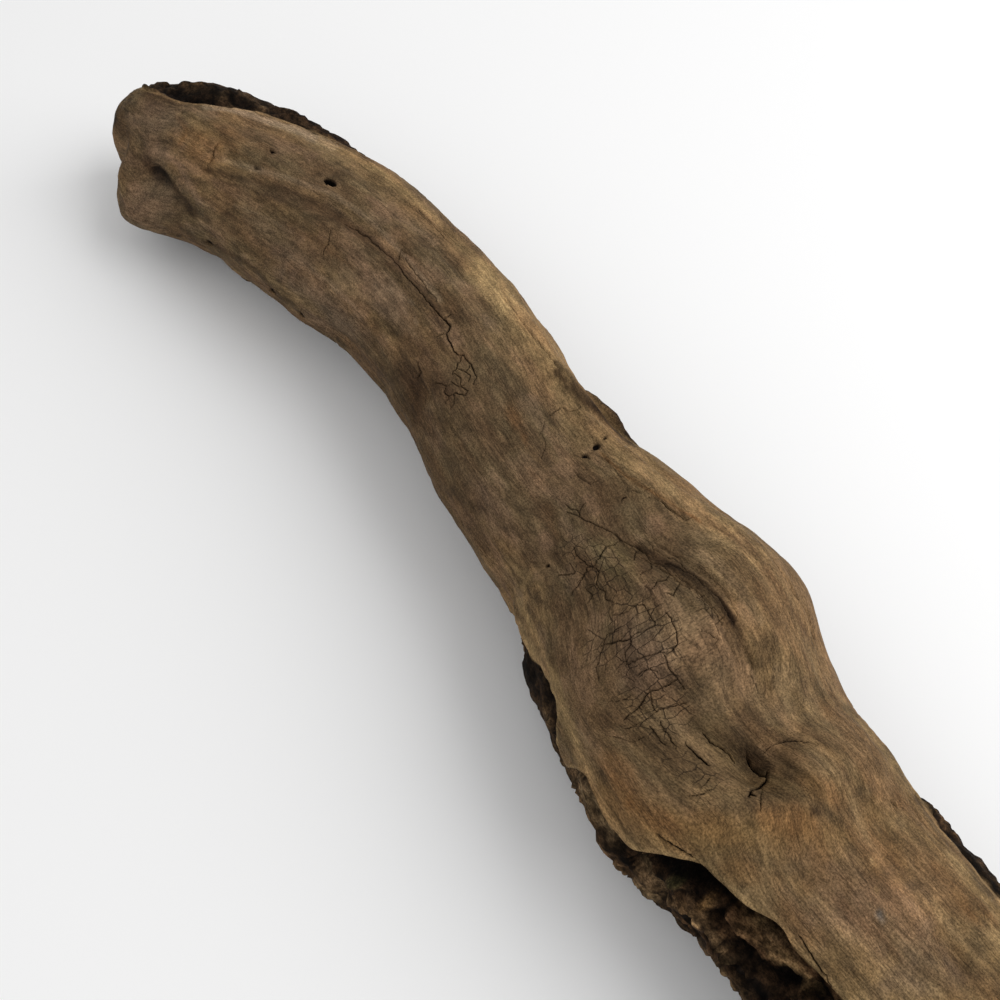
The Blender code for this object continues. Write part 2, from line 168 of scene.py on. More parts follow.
# Cracks in the photograph: half width and depth in millimetres, and the course's x, y, x, y and so on.
CRACKS = (
    # the long check and the flakes at its end
    (0.06, 0.7, 345, 224, 362, 233, 380, 247, 395, 262),
    (0.11, 1.1, 395, 262, 405, 275, 415, 286, 427, 300, 437, 312),
    (0.21, 1.8, 437, 312, 444, 319, 450, 325, 446, 333, 452, 346, 456, 354, 463, 356),
    (0.13, 1.2, 463, 356, 460, 362, 455, 370, 453, 375),
    (0.12, 1.2, 463, 355, 470, 364, 477, 378, 473, 385),
    (0.13, 1.0, 448, 398, 457, 394, 466, 396, 469, 391),
    (0.10, 1.0, 447, 385, 445, 391, 449, 398, 446, 404), (0.09, 0.9, 465, 372, 470, 377, 468, 383),
    (0.09, 0.9, 452, 383, 458, 387, 464, 385), (0.10, 0.9, 456, 374, 462, 378, 461, 386, 467, 391),
    (0.09, 0.8, 471, 366, 466, 371, 459, 369), (0.09, 0.8, 438, 382, 446, 386, 452, 383),
    (0.08, 0.7, 455, 396, 456, 403, 451, 409), (0.14, 1.2, 444, 318, 450, 315),
    (0.13, 1.2, 436, 336, 446, 332), (0.10, 0.9, 397, 258, 401, 249, 411, 256),
    (0.08, 0.6, 404, 259, 420, 278, 436, 300), (0.12, 1.0, 417, 362, 421, 372, 415, 379),
    (0.08, 0.9, 330, 230, 327, 242, 322, 255), (0.08, 0.7, 217, 145, 213, 157, 208, 168),
    # along the far ridge
    (0.12, 0.8, 505, 298, 520, 320, 537, 340, 550, 355, 562, 372),
    (0.11, 0.5, 390, 185, 415, 205, 437, 227, 452, 243),
    (0.11, 0.5, 290, 122, 320, 134, 348, 148, 372, 166),
    (0.09, 0.8, 550, 414, 561, 407, 569, 411, 580, 409), (0.16, 1.0, 620, 500, 627, 496),
    (0.14, 0.9, 650, 497, 665, 505, 687, 519, 693, 516),
    # the saddle
    (0.09, 0.7, 585, 504, 580, 510, 580, 516), (0.08, 0.7, 580, 510, 571, 510, 565, 505),
    (0.06, 0.5, 573, 470, 580, 478, 590, 484, 598, 480),
    (0.06, 0.5, 604, 455, 611, 466, 622, 478, 628, 491), (0.06, 0.5, 628, 489, 640, 493, 652, 487),
    (0.06, 0.5, 545, 420, 541, 432, 546, 445, 541, 458),
    # the burl's crescent
    (0.08, 0.8, 567, 512, 577, 516, 594, 524, 611, 531, 620, 539, 635, 546, 645, 552, 652, 561, 665, 567,
     670, 574, 680, 582),
    (0.10, 1.0, 645, 540, 660, 552, 680, 562, 695, 575, 706, 584, 716, 596, 725, 610, 733, 622),
    (0.13, 0.9, 667, 563, 690, 572, 707, 587, 722, 603, 733, 623),
    (0.07, 0.6, 640, 556, 662, 569, 684, 580, 700, 594, 713, 610, 722, 625),
    (0.07, 0.6, 652, 541, 674, 554, 696, 564, 714, 579, 729, 598, 738, 615),
    (0.06, 0.5, 648, 560, 668, 574, 688, 588, 702, 602, 712, 618),
    # crazing over the burl
    (0.12, 1.3, 655, 624, 646, 630, 636, 634, 627, 640, 607, 644, 600, 647),
    (0.08, 1.1, 615, 616, 627, 612, 636, 605, 645, 605, 650, 615, 655, 624),
    (0.12, 1.3, 632, 639, 624, 652, 627, 665, 637, 659, 655, 654, 672, 652, 677, 642, 676, 630, 671, 620,
     665, 612),
    (0.08, 1.3, 665, 654, 667, 665, 675, 677, 685, 689),
    (0.15, 1.8, 676, 680, 665, 687, 649, 692, 637, 709, 625, 720),
    (0.08, 1.4, 649, 692, 651, 702, 655, 712, 675, 705, 686, 702),
    (0.08, 1.0, 657, 671, 647, 670, 637, 675), (0.08, 0.9, 612, 702, 625, 700, 632, 695),
    (0.08, 0.9, 620, 630, 607, 635, 600, 655, 595, 670, 597, 678),
    (0.08, 1.3, 620, 539, 615, 546, 606, 547, 600, 557, 595, 566, 587, 567, 584, 576, 577, 586, 572, 595),
    (0.08, 1.1, 575, 547, 577, 555, 587, 565, 594, 567),
    (0.08, 1.1, 594, 566, 599, 574, 595, 585, 605, 592, 604, 600, 612, 602),
    (0.08, 1.0, 570, 562, 575, 572, 565, 575, 557, 576),
    (0.08, 0.9, 595, 585, 585, 590, 592, 595, 587, 602), (0.08, 0.9, 636, 550, 634, 561),
    (0.08, 0.9, 652, 561, 650, 567, 640, 574),
    (0.08, 1.1, 670, 574, 665, 580, 657, 581, 650, 590, 645, 587),
    (0.08, 1.1, 680, 582, 675, 590, 674, 596, 667, 592), (0.08, 0.7, 725, 615, 716, 624, 720, 634),
    (0.08, 0.7, 700, 630, 708, 634, 718, 640, 713, 646), (0.08, 0.8, 655, 712, 642, 722, 625, 730),
    (0.08, 0.7, 612, 737, 630, 742, 645, 737), (0.07, 0.5, 748, 548, 756, 558, 764, 572, 772, 580),
    (0.07, 0.5, 756, 540, 772, 558, 788, 580, 800, 604),
    (0.08, 0.6, 790, 588, 802, 604, 810, 622, 814, 646),
    (0.06, 0.4, 745, 652, 752, 662, 750, 676, 757, 690),
    (0.06, 0.4, 772, 640, 768, 656, 774, 672, 770, 690),
    # between the burl and the fold
    (0.15, 1.2, 650, 725, 656, 735, 664, 746), (0.15, 1.2, 659, 723, 668, 735, 676, 748),
    (0.24, 1.8, 687, 745, 697, 757, 709, 766), (0.18, 1.4, 702, 732, 710, 742, 722, 748, 735, 761),
    (0.52, 3.0, 747, 757, 752, 764, 760, 772, 767, 777),
    (0.42, 3.0, 767, 772, 768, 780, 762, 786, 752, 790, 749, 796),
    (0.16, 0.7, 762, 754, 770, 746, 780, 742, 792, 741, 806, 742, 818, 745),
    (0.13, 0.7, 762, 790, 761, 800, 760, 812), (0.17, 0.9, 687, 796, 700, 794, 711, 789),
    (0.16, 0.8, 700, 788, 705, 783, 710, 777), (0.33, 1.1, 658, 835, 675, 846, 692, 857),
    (0.20, 0.9, 800, 935, 812, 955, 825, 975, 836, 994),
)

# How far apart a crack's points are in pixels, the length and swing of its kinks, how far round it the skin
# is marked, and the distance in millimetres that stands for no crack.
KINK_GAP = 1.4
KINKS = ((7.0, 1.0), (3.1, 0.8))
CRACK_REACH = 14
UNMARKED = 12.0

# Drying checks that the photograph doesn't show: how many, their depth, the belly's radius there, and the
# limits of x, angle, length and half width.
BELLY_CHECKS = 54
CHECK_DEPTH = 2.2
BELLY_RADIUS = 33.0
CHECK_LIMITS = ((-225, 215), (205, 372), (14, 55), (0.25, 0.6))

# Bore holes and small pits: oval, and depth in millimetres. They are also painted black, as shadow in them.
HOLES = (
    (330, 181, 7.5, 3.6, 28, 3.0), (272, 151, 2.9, 2.2, 60, 1.3), (255, 167, 3.4, 2.0, 30, 0.7),
    (586, 455, 3.8, 2.9, -20, 1.3), (597, 446, 5.4, 3.4, -40, 1.5), (606, 437, 2.8, 2.1, -20, 1.0),
    (546, 566, 2.6, 1.4, -40, 1.2), (896, 803, 3.6, 1.5, 30, 0.9), (209, 244, 4.2, 1.6, 40, 1.2),
    (272, 292, 4.0, 2.2, 40, 1.6), (301, 315, 4.4, 2.4, 40, 1.8),
)

# Where the burl is crazed: oval, and strength. The crazing bends round the pith at CRAZE_RADIUS.
CRAZED = (
    (594, 566, 50, 28, 42, 1.0), (645, 640, 58, 42, 62, 1.0), (655, 705, 48, 34, 40, 0.9),
    (700, 603, 28, 12, 55, 0.5), (596, 648, 34, 22, 60, 0.5), (690, 768, 50, 18, 30, 0.5),
)
CRAZE_RADIUS = 38.0

# Dents, and lumps where the depth is below nought, in the sound wood and in the rot: oval and depth.
SOUND_DENTS = (
    (162, 176, 12, 6, 46, 2.8), (143, 164, 18, 7, 40, 0.4), (186, 205, 16, 8, 50, 1.0),
    (163, 151, 16, 5, 22, -1.2), (190, 185, 26, 6, 56, -1.1), (175, 196, 22, 4, 52, 1.1),
    (146, 188, 12, 8, 60, -0.8), (155, 120, 30, 14, 5, 0.8), (252, 165, 11, 4, 18, 0.7),
    (410, 385, 22, 16, 30, 0.9), (462, 376, 12, 8, 40, -0.7), (752, 764, 14, 10, 50, 2.4),
)
ROT_DENTS = (
    (672, 866, 24, 7, 5, 4.0), (707, 881, 20, 8, 25, 4.5), (740, 899, 16, 7, 42, 4.0),
    (725, 908, 15, 5, -45, 3.0), (660, 890, 5, 13, -20, 3.0), (786, 980, 17, 12, 35, 4.5),
    (677, 882, 9, 6, 20, -2.5), (708, 903, 12, 7, -35, -3.0), (650, 884, 20, 6, 55, -2.0),
    (690, 912, 20, 5, 28, -2.0), (748, 935, 34, 7, 48, -2.5), (785, 960, 24, 4, 50, -2.0),
    (727, 955, 26, 5, 48, -2.5), (712, 950, 26, 4, 48, 3.0), (745, 955, 20, 4, 50, 3.0),
)

# Small relief: height in millimetres, length along the grain, width across it, and seed. Folds leave sharp
# ribs between hollows. Creases are length, width and seed.
SOUND_FIBRES = ((0.45, 34.0, 4.0, 51), (0.22, 20.0, 2.4, 52), (0.55, 12.0, 8.0, 53), (0.20, 3.4, 3.4, 58))
THIN_END_LUMPS = (0.35, 6.0, 4.0, 75)
ROT_FOLDS = ((2.2, 24.0, 5.2, 54), (1.5, 9.0, 2.8, 55), (0.9, 3.6, 1.5, 59))
LONG_CREASES = (36.0, 6.5, 71)
SHORT_CREASES = (17.0, 4.2, 72)
ROT_CREASES = (14.0, 6.0, 73)
ROT_CRACKLE = (5.5, 5.5, 74)

# Tones of the wood, as they look under the studio light. The blackest tone is partly dark rot and partly
# painted shadow: in bore holes, pits, dents, the hollow's cavities, creases, the crescent groove and under
# the lips.
TONES = {
    "black_rot_and_shadow": (11, 7, 5), "umber": (46, 33, 22), "brown": (78, 58, 40), "shade": (72, 56, 40),
    "grey": (88, 72, 53), "drab": (98, 80, 59), "tan": (114, 91, 64), "ochre": (126, 97, 62),
    "pale": (148, 121, 86), "rust": (96, 60, 28), "moss": (88, 86, 56), "slate": (84, 82, 80),
    "mauve": (100, 82, 67), "blush": (122, 98, 79), "ash": (142, 122, 100), "sienna": (122, 88, 54),
}

# Broad strokes of tone: half width in pixels, tone, strength, and the course as x, y, x, y and so on. Shade
# strokes are painted shade, and other strokes are marked where they paint shade or a highlight.
STROKES = (
    (9, "umber", 0.75, 150, 92, 225, 96, 290, 114, 350, 145),
    (11, "tan", 0.6, 225, 116, 290, 132, 335, 148, 380, 176, 430, 220, 480, 268),
    (4, "ash", 0.9, 205, 106, 250, 113, 300, 131, 335, 146),
    (4, "pale", 0.5, 320, 140, 350, 152, 392, 178, 440, 222),
    (1.6, "umber", 0.5, 222, 142, 214, 152, 210, 166),
    (1.6, "umber", 0.5, 232, 151, 248, 158, 258, 168, 253, 176),
    (2, "umber", 0.45, 214, 181, 245, 187, 270, 197, 300, 208, 332, 222),
    (2.2, "brown", 0.6, 250, 214, 285, 224, 318, 242, 352, 268),
    (2.4, "ash", 0.25, 236, 206, 262, 216, 292, 232),
    (2.6, "brown", 0.6, 200, 196, 222, 212, 246, 224, 272, 246),
    (2.6, "ash", 0.3, 282, 252, 310, 268, 338, 290, 362, 318),
    (1.6, "ash", 0.55, 372, 283, 392, 291, 412, 303), (1.6, "ash", 0.5, 404, 311, 421, 326),
    (3.5, "umber", 0.55, 348, 226, 372, 240, 398, 262, 424, 292, 438, 314),
    (2, "umber", 0.35, 150, 104, 168, 100, 182, 112, 186, 128),
    (3, "rust", 0.3, 176, 116, 186, 130, 180, 144),
    (13, "pale", 0.9, 478, 268, 505, 300, 537, 340, 560, 376),
    (14, "tan", 0.5, 500, 340, 540, 385, 575, 410),
    (3.5, "umber", 0.6, 205, 170, 240, 176, 280, 188, 325, 206, 350, 226),
    (3.5, "ash", 0.3, 225, 160, 280, 176, 330, 193, 372, 222, 410, 262, 440, 300),
    (8, "shade", 0.6, 225, 172, 280, 190, 325, 208, 370, 240, 410, 285, 440, 322),
    (4, "tan", 0.35, 215, 166, 280, 181, 330, 199, 372, 229, 410, 268),
    (3, "umber", 0.6, 205, 242, 222, 250, 247, 262, 262, 275, 275, 293, 290, 303, 303, 316),
    (20, "shade", 0.4, 405, 300, 420, 345, 452, 400, 500, 450),
    (16, "grey", 0.5, 480, 350, 510, 400, 530, 440),
    # painted shade in the thin end's pit and its valley
    (3, "umber", 0.7, 158, 170, 170, 183, 180, 198, 190, 214),
    # pinkish wood with a painted highlight on the ridge above the pit
    (4, "blush", 0.6, 152, 152, 166, 154, 180, 166, 190, 182, 200, 202),
    (3, "pale", 0.55, 520, 600, 545, 655, 560, 690, 565, 712, 577, 748, 592, 790, 610, 828, 640, 853),
    (26, "tan", 0.6, 540, 330, 575, 395, 620, 440, 680, 492, 745, 545, 795, 605, 812, 650),
    (9, "pale", 0.45, 600, 430, 650, 478, 700, 512, 760, 560),
    (4, "umber", 0.85, 556, 372, 566, 385, 577, 398, 590, 405, 603, 415, 618, 428, 632, 441),
    (24, "tan", 0.3, 830, 680, 880, 760, 940, 830, 990, 890),
    # painted shade in the burl's crescent groove
    (5, "umber", 0.65, 640, 548, 667, 563, 690, 573, 707, 588, 722, 603, 733, 622),
    (7, "grey", 0.4, 664, 572, 686, 584, 702, 598, 714, 614),
    # painted shade in the burl's crescent groove
    (4, "umber", 0.8, 700, 585, 714, 597, 726, 611, 734, 626),
    # painted shade in the burl's crescent groove
    (3.5, "black_rot_and_shadow", 0.4, 668, 563, 690, 576, 708, 591, 722, 606, 732, 622),
    (2, "brown", 0.6, 735, 530, 757, 554, 777, 582, 796, 616, 812, 648),
    (2, "brown", 0.45, 700, 512, 732, 538, 754, 568, 768, 602),
    (2, "brown", 0.5, 640, 486, 682, 512, 722, 530, 756, 556),
    (2, "rust", 0.4, 600, 452, 624, 474, 654, 492, 700, 520),
    (3, "black_rot_and_shadow", 0.6, 556, 362, 566, 373, 578, 388, 592, 402, 606, 415, 622, 432),
    (4, "umber", 0.7, 915, 797, 950, 832, 994, 895),
    # painted shade in the thin end's pit and its valley
    (6, "umber", 0.7, 148, 164, 162, 178, 176, 194, 192, 214),
    (22, "shade", 0.55, 340, 340, 390, 400, 430, 470, 470, 545),
    (12, "shade", 0.4, 205, 250, 260, 290, 320, 330),
    (22, "ochre", 0.4, 600, 800, 680, 840, 760, 830, 830, 840),
    (7, "pale", 0.35, 500, 600, 530, 650, 560, 710, 590, 780),
)

# Patches of tone on the sound wood and on the rotted wood: oval, tone and strength.
PATCHES = (
    # the pit at the thin end and the dark beside it: painted shade in the pit
    (160, 175, 12, 6, 42, "black_rot_and_shadow", 0.8), (146, 166, 16, 9, 40, "umber", 0.25),
    (114, 119, 5, 10, 0, "black_rot_and_shadow", 0.8), (155, 120, 30, 18, 5, "mauve", 0.6),
    # the first blush patch: pinkish wood with a painted highlight on the ridge above the pit
    (165, 153, 16, 10, 20, "blush", 0.5), (148, 208, 30, 24, 30, "mauve", 0.6),
    (208, 145, 34, 26, 20, "sienna", 0.35), (268, 226, 60, 34, 42, "shade", 0.45),
    (322, 302, 46, 20, 42, "mauve", 0.75), (290, 262, 30, 12, 42, "mauve", 0.45),
    (425, 386, 26, 16, 30, "umber", 0.35), (462, 380, 18, 13, 40, "brown", 0.5),
    (700, 700, 40, 26, 50, "shade", 0.35), (485, 500, 34, 14, 55, "mauve", 0.4),
    (388, 302, 44, 16, 50, "blush", 0.65), (360, 258, 30, 10, 46, "blush", 0.35),
    (440, 385, 52, 34, 35, "shade", 0.5), (418, 412, 32, 18, 60, "brown", 0.5),
    (464, 374, 16, 12, 40, "drab", 0.5), (514, 420, 8, 20, -14, "rust", 0.3),
    (387, 282, 3, 3, 0, "umber", 0.6), (410, 394, 34, 20, 55, "umber", 0.4),
    (736, 748, 34, 18, 45, "umber", 0.4), (668, 748, 40, 20, 40, "brown", 0.4),
    (618, 770, 34, 16, 50, "sienna", 0.4), (826, 790, 26, 18, 40, "sienna", 0.4),
    (524, 438, 6, 14, -20, "rust", 0.3), (580, 445, 30, 26, 40, "tan", 0.45),
    (615, 560, 30, 22, 40, "moss", 0.3), (650, 660, 46, 32, 60, "mauve", 0.6),
    (600, 575, 50, 34, 45, "brown", 0.25), (712, 604, 22, 9, 55, "grey", 0.5),
    # the black patch at 752, 764 lies in a dent: painted shade in it
    (765, 700, 40, 24, 60, "grey", 0.45), (752, 764, 22, 18, 45, "black_rot_and_shadow", 0.55),
    (738, 745, 26, 12, 45, "umber", 0.45), (700, 765, 50, 18, 30, "brown", 0.4),
    (780, 818, 34, 20, 10, "sienna", 0.5), (815, 812, 6, 6, 0, "umber", 0.7),
    (690, 825, 60, 16, 8, "sienna", 0.35), (632, 806, 9, 6, 0, "rust", 0.5),
    (740, 872, 22, 12, 20, "sienna", 0.35), (870, 925, 78, 46, 45, "blush", 0.45),
    (930, 965, 40, 24, 45, "mauve", 0.3), (868, 762, 60, 16, 52, "drab", 0.45),
    (566, 300, 30, 14, 55, "mauve", 0.3), (300, 250, 60, 30, 40, "mauve", 0.25),
    (880, 916, 5, 7, 0, "slate", 0.8), (872, 861, 3, 7, -25, "pale", 0.9),
    (878, 892, 3, 4, 20, "pale", 0.9), (905, 957, 4, 3, 20, "pale", 0.6), (971, 969, 3, 3, 0, "pale", 0.6),
    (560, 480, 40, 26, 50, "grey", 0.35),
)
# In the hollow the black patches lie in its dents and under the lip: painted shadow. Its tan, ochre and pale
# patches lie on lumps: tan rot, partly painted light on the lumps, and the two smallest pale dots are
# painted highlights. The black strips along the near edge are dark rot, partly painted shade on the
# underside.
ROT_PATCHES = (
    (692, 873, 40, 15, 18, "black_rot_and_shadow", 1.0), (728, 890, 30, 13, 40, "black_rot_and_shadow", 1.0),
    (714, 880, 44, 9, 33, "black_rot_and_shadow", 1.0), (648, 880, 24, 8, 55, "drab", 0.7),
    (692, 912, 24, 7, 28, "tan", 0.4), (676, 881, 8, 5, 20, "moss", 0.3),
    (707, 903, 12, 8, -35, "ochre", 0.45), (742, 930, 34, 12, 48, "brown", 0.8),
    (760, 925, 12, 9, 20, "tan", 0.6), (786, 962, 32, 9, 48, "pale", 0.85),
    (760, 938, 26, 9, 48, "tan", 0.5), (728, 964, 40, 8, 48, "black_rot_and_shadow", 0.7),
    (693, 922, 4, 2, 10, "pale", 0.9), (699, 925, 2, 2, 0, "pale", 0.9),
    (684, 899, 18, 8, 40, "umber", 0.7), (680, 866, 32, 8, 8, "black_rot_and_shadow", 1.0),
    (709, 882, 22, 9, 28, "black_rot_and_shadow", 1.0), (741, 899, 17, 7, 42, "black_rot_and_shadow", 1.0),
    (725, 908, 16, 4, -45, "black_rot_and_shadow", 0.9), (658, 882, 5, 20, -20, "black_rot_and_shadow", 1.0),
    (690, 893, 20, 3, 16, "black_rot_and_shadow", 0.8), (786, 981, 16, 12, 35, "black_rot_and_shadow", 1.0),
    (602, 404, 44, 7, 50, "black_rot_and_shadow", 0.6), (536, 680, 50, 12, 65, "black_rot_and_shadow", 0.6),
    (225, 98, 60, 10, 8, "black_rot_and_shadow", 0.7), (310, 128, 50, 8, 27, "umber", 0.7),
    (594, 806, 50, 12, 60, "drab", 0.8), (616, 852, 28, 5, 54, "black_rot_and_shadow", 0.6),
    (543, 664, 34, 9, 62, "black_rot_and_shadow", 0.6),
)

# Courses that the grain bends along, how far round from them in degrees it does so, and how fully. A bend
# fades from outside its course's ends to inside them.
GRAIN_BENDS = (
    ("burl_crescent", 30.0, 0.9),
    ("fold_sweep", 44.0, 0.8),
    ("far_ridge", 30.0, 0.9),
)
BEND_FADE = (20, 15)

# The material's noises: length along the grain and width across it in millimetres, detail and roughness.
WOOD_NOISES = {
    "grain": (2.6, 0.8, 2.0, 0.6), "speckle": (0.55, 0.5, 2.0, 0.7), "fibre": (20.0, 1.3, 3.0, 0.55),
    "thread": (10.0, 0.5, 2.0, 0.5), "patch": (17.0, 6.0, 2.0, 0.5), "mottle": (7.0, 3.5, 4.0, 0.6),
    "hue": (26.0, 11.0, 3.0, 0.55), "crumb": (1.5, 1.3, 3.0, 0.65), "clod": (4.5, 3.6, 2.0, 0.5),
}
COOL_TINT = (0.97, 1.01, 0.95, 1.0)
WARM_TINT = (1.04, 0.985, 0.93, 1.0)
# Painted shade beside the cracks, and near-black painted shadow in the crazing's and the cracks' gaps.
CRACK_SHADE = (0.03, 0.02, 0.012, 1.0)
CRAZE_GAP_SHADOW = (0.016, 0.010, 0.006, 1.0)
CRACK_GAP_SHADOW = (0.010, 0.006, 0.004, 1.0)


def along(x, table):
    """The values of a table of (x, value, ...) rows at x, on a smooth curve through the rows."""
    rows = np.array(table, float)
    knots, values = rows[:, 0], rows[:, 1:]
    slopes = np.gradient(values, knots, axis=0)
    x = np.clip(x, knots[0], knots[-1])
    i = np.clip(np.searchsorted(knots, x, side="right") - 1, 0, len(knots) - 2)
    gap = (knots[i + 1] - knots[i])[:, None]
    t = ((x - knots[i])[:, None]) / gap
    return (
        values[i] * (1 + 2 * t) * (1 - t) ** 2
        + slopes[i] * gap * t * (1 - t) ** 2
        + values[i + 1] * t**2 * (3 - 2 * t)
        + slopes[i + 1] * gap * t**2 * (t - 1)
    )


def one_along(x, table):
    """As along, for a table with one value in each row."""
    return along(x, table)[:, 0]


def stacked(*parts):
    """Points from their coordinates, each an array or one number for all of them."""
    return np.stack(np.broadcast_arrays(*parts), 1)


def turned(away, turn):
    """The first two coordinates of the points, seen from axes turned by so many degrees."""
    c, s = math.cos(math.radians(turn)), math.sin(math.radians(turn))
    return away[:, 0] * c + away[:, 1] * s, away[:, 1] * c - away[:, 0] * s


def lattice(ix, iy, iz, seed):
    """A fixed random number from -1 to 1 for each point of a whole-number lattice."""
    n = (ix * 374761393 + iy * 668265263 + iz * 974634777 + seed * 362437) & 0xFFFFFFFF
    n = ((n ^ (n >> 13)) * 1274126177) & 0xFFFFFFFF
    n = ((n ^ (n >> 15)) * 2246822519) & 0xFFFFFFFF
    return ((n ^ (n >> 16)) & 0xFFFFFF) / float(0x7FFFFF) - 1.0


def noise(points, seed):
    """Smooth noise from -1 to 1 that varies over about one unit of the points."""
    cell = np.floor(points).astype(np.int64)
    f = points - cell
    f = f * f * f * (f * (f * 6 - 15) + 10)
    total = np.zeros(len(points))
    for corner in product((0, 1), repeat=3):
        total += np.where(corner, f, 1 - f).prod(1) * lattice(*(cell + corner).T, seed)
    return total


def streaks(points, length, width, seed):
    """Noise drawn out along the points' first coordinate: length along it and width across it."""
    return noise(points / np.array([length, width, width]), seed)


def creases(points, length, width, seed, sharpness):
    """Thin lines, 1 along the middle of each, where the streaks' noise passes through nought."""
    return (1 - np.abs(streaks(points, length, width, seed))) ** sharpness


def step(low, high, value):
    """0 up to low, 1 from high on, and a smooth change between them."""
    t = np.clip((value - low) / (high - low), 0.0, 1.0)
    return t * t * (3 - 2 * t)


def hump(value, middle, reach):
    """1 at the middle, about an eighth a reach away, and next to 0 at twice that."""
    return np.exp(-(((value - middle) / reach) ** 2) * 2.0)


def grained(x, angle, length, width, seed):
    """Noise drawn out along the grain: length along the pith and width round it, in millimetres."""
    turn = np.radians(angle)
    ring = MEAN_RADIUS / width
    return noise(stacked(x / length, np.cos(turn) * ring, np.sin(turn) * ring), seed)


def seams(x):
    """The far and near seams' angles at x, wandering a little as a rotted edge does."""
    wavelength, swing = SEAM_WANDER
    spot = stacked(x / wavelength, 0.0, 0.0)
    far = one_along(x, FAR_SEAM) + swing * noise(spot, 11)
    near = one_along(x, NEAR_SEAM) + swing * noise(spot, 12)
    return far, near


def angle_at(x, round_share):
    """The angle at a share of the way round: 0 to 0.5 crosses the crown, 0.5 to 1 the belly."""
    far, near = seams(x)
    crown = far + (near - far) * round_share / 0.5
    belly = near + (far + 360 - near) * (round_share - 0.5) / 0.5
    return np.where(round_share < 0.5, crown, belly)


def section_radius(angle, near, far, crown, belly):
    """Radius of a rounded section whose four sides reach different distances from the pith."""
    c, s = np.cos(np.radians(angle)), np.sin(np.radians(angle))
    side = np.where(c > 0, far, near)
    rise = np.where(s > 0, crown, belly)
    power = SECTION_POWER
    return (np.abs(c / side) ** power + np.abs(s / rise) ** power) ** (-1 / power)


def grain_lines(x, angle, radius):
    """The ridges and grooves that follow the grain, each fading out towards its two ends."""
    total = np.zeros(len(x))
    outside, inside = LINE_FADE
    for _, height, breadth, course in GRAIN_LINES:
        start, stop = course[0][0], course[-1][0]
        fade = step(start - outside, start + inside, x) * (1 - step(stop - inside, stop + outside, x))
        aside = np.radians(angle - one_along(x, course)) * radius
        total += height * fade * np.exp(-((aside / breadth) ** 2))
    return total


def rot_share(x, angle):
    """0 on sound wood, 1 on the rotted belly, with a sharp lip between them."""
    far, near = seams(x)
    return step(0.0, LIP_SPAN, angle - near) * (1 - step(-LIP_SPAN, 0.0, angle - (far + 360)))


def relief(x, angle, radius):
    """What weather and rot add to the section's radius, in millimetres."""
    near = seams(x)[1]
    rot = rot_share(x, angle)
    length, width, depth = CROWN_FLUTES
    crown = depth * grained(x, angle, length, width, 1) + grain_lines(x, angle, radius)
    length, width, depth = ROT_FLUTES
    rotted = -depth * np.abs(grained(x, angle, length, width, 2)) + 0.3 * depth
    length, width, depth = ROT_PITS
    rotted += depth * grained(x, angle, length, width, 3)
    depth, middle, reach = along(x, NEAR_HOLLOW).T
    rotted -= depth * hump(angle - near, middle, reach)
    rotted += one_along(x, NEAR_SHELF) * hump(angle, one_along(x, NEAR_RIM), NEAR_RIM_SPAN)
    rotted += one_along(x, FAR_SHELF) * hump(angle, one_along(x, FAR_RIM), FAR_RIM_SPAN)
    rotted -= one_along(x, BELLY_TROUGH) * hump(angle, TROUGH_ANGLE, TROUGH_SPAN)
    return crown * (1 - rot) + rotted * rot


def cap_share(x, ends):
    """How much of the full section is left at x, as the two ends round off."""
    share = np.ones(len(x))
    for reach, (length, power) in ((x - ends[0], THIN_CAP), (ends[1] - x, THICK_CAP)):
        into = np.clip(1 - reach / length, 0, 1)
        share *= (1 - into**power) ** (1 / power)
    return share


def lower_rests(points):
    """Brings the belly down to the surface at each rest."""
    for _, middle, reach, drop in RESTS:
        away = ((points[:, :2] - np.array(middle, float)) ** 2).sum(1)
        points[:, 2] -= drop * np.exp(-away / reach**2) * (1 - step(*REST_HEIGHTS, points[:, 2]))


def swell(points):
    """Pushes the points out or in around each named bump and dent."""
    moved = points.copy()
    for _, centre, reach, turn, push in SWELLINGS:
        away = points - np.array(centre, float)
        local = stacked(*turned(away, turn), away[:, 2])
        weight = np.exp(-((local / np.array(reach, float)) ** 2).sum(1))
        moved += weight[:, None] * np.array(push, float)
    return moved


def surface(x, round_share, fine=0.0):
    """Points of the skin, and the wood's own straightened coordinates there."""
    ends = (STATIONS[0][0], STATIONS[-1][0])
    y, z, near, far, crown, belly = along(x, STATIONS).T
    ahead = along(x + 1.0, STATIONS)[:, 0] - along(x - 1.0, STATIONS)[:, 0]
    heading = np.arctan2(ahead, 2.0)
    angle = angle_at(x, round_share)
    radius = section_radius(angle, near, far, crown, belly)
    share = cap_share(x, ends)
    radius = (radius + (relief(x, angle, radius) + fine) * share) * share
    c, s = np.cos(np.radians(angle)), np.sin(np.radians(angle))
    out = stacked(-c * np.sin(heading), c * np.cos(heading), s)
    points = stacked(x, y, z) + out * radius[:, None]
    splinters = sum(depth * streaks(points, *grain) for depth, *grain in SPLINTERS)
    lean = BREAK_LEAN[0] * (points[:, 1] - y) + BREAK_LEAN[1] * (points[:, 2] - z)
    points[:, 0] += (splinters + lean) * step(ends[1] - BREAK_REACH, ends[1], x)
    points = swell(points)
    lower_rests(points)
    points[:, 2] = np.maximum(points[:, 2], 0.0)
    fibre = np.radians(bent_angle(x, angle))
    return points + FRAME_SHIFT, stacked(x, np.cos(fibre) * radius, np.sin(fibre) * radius)


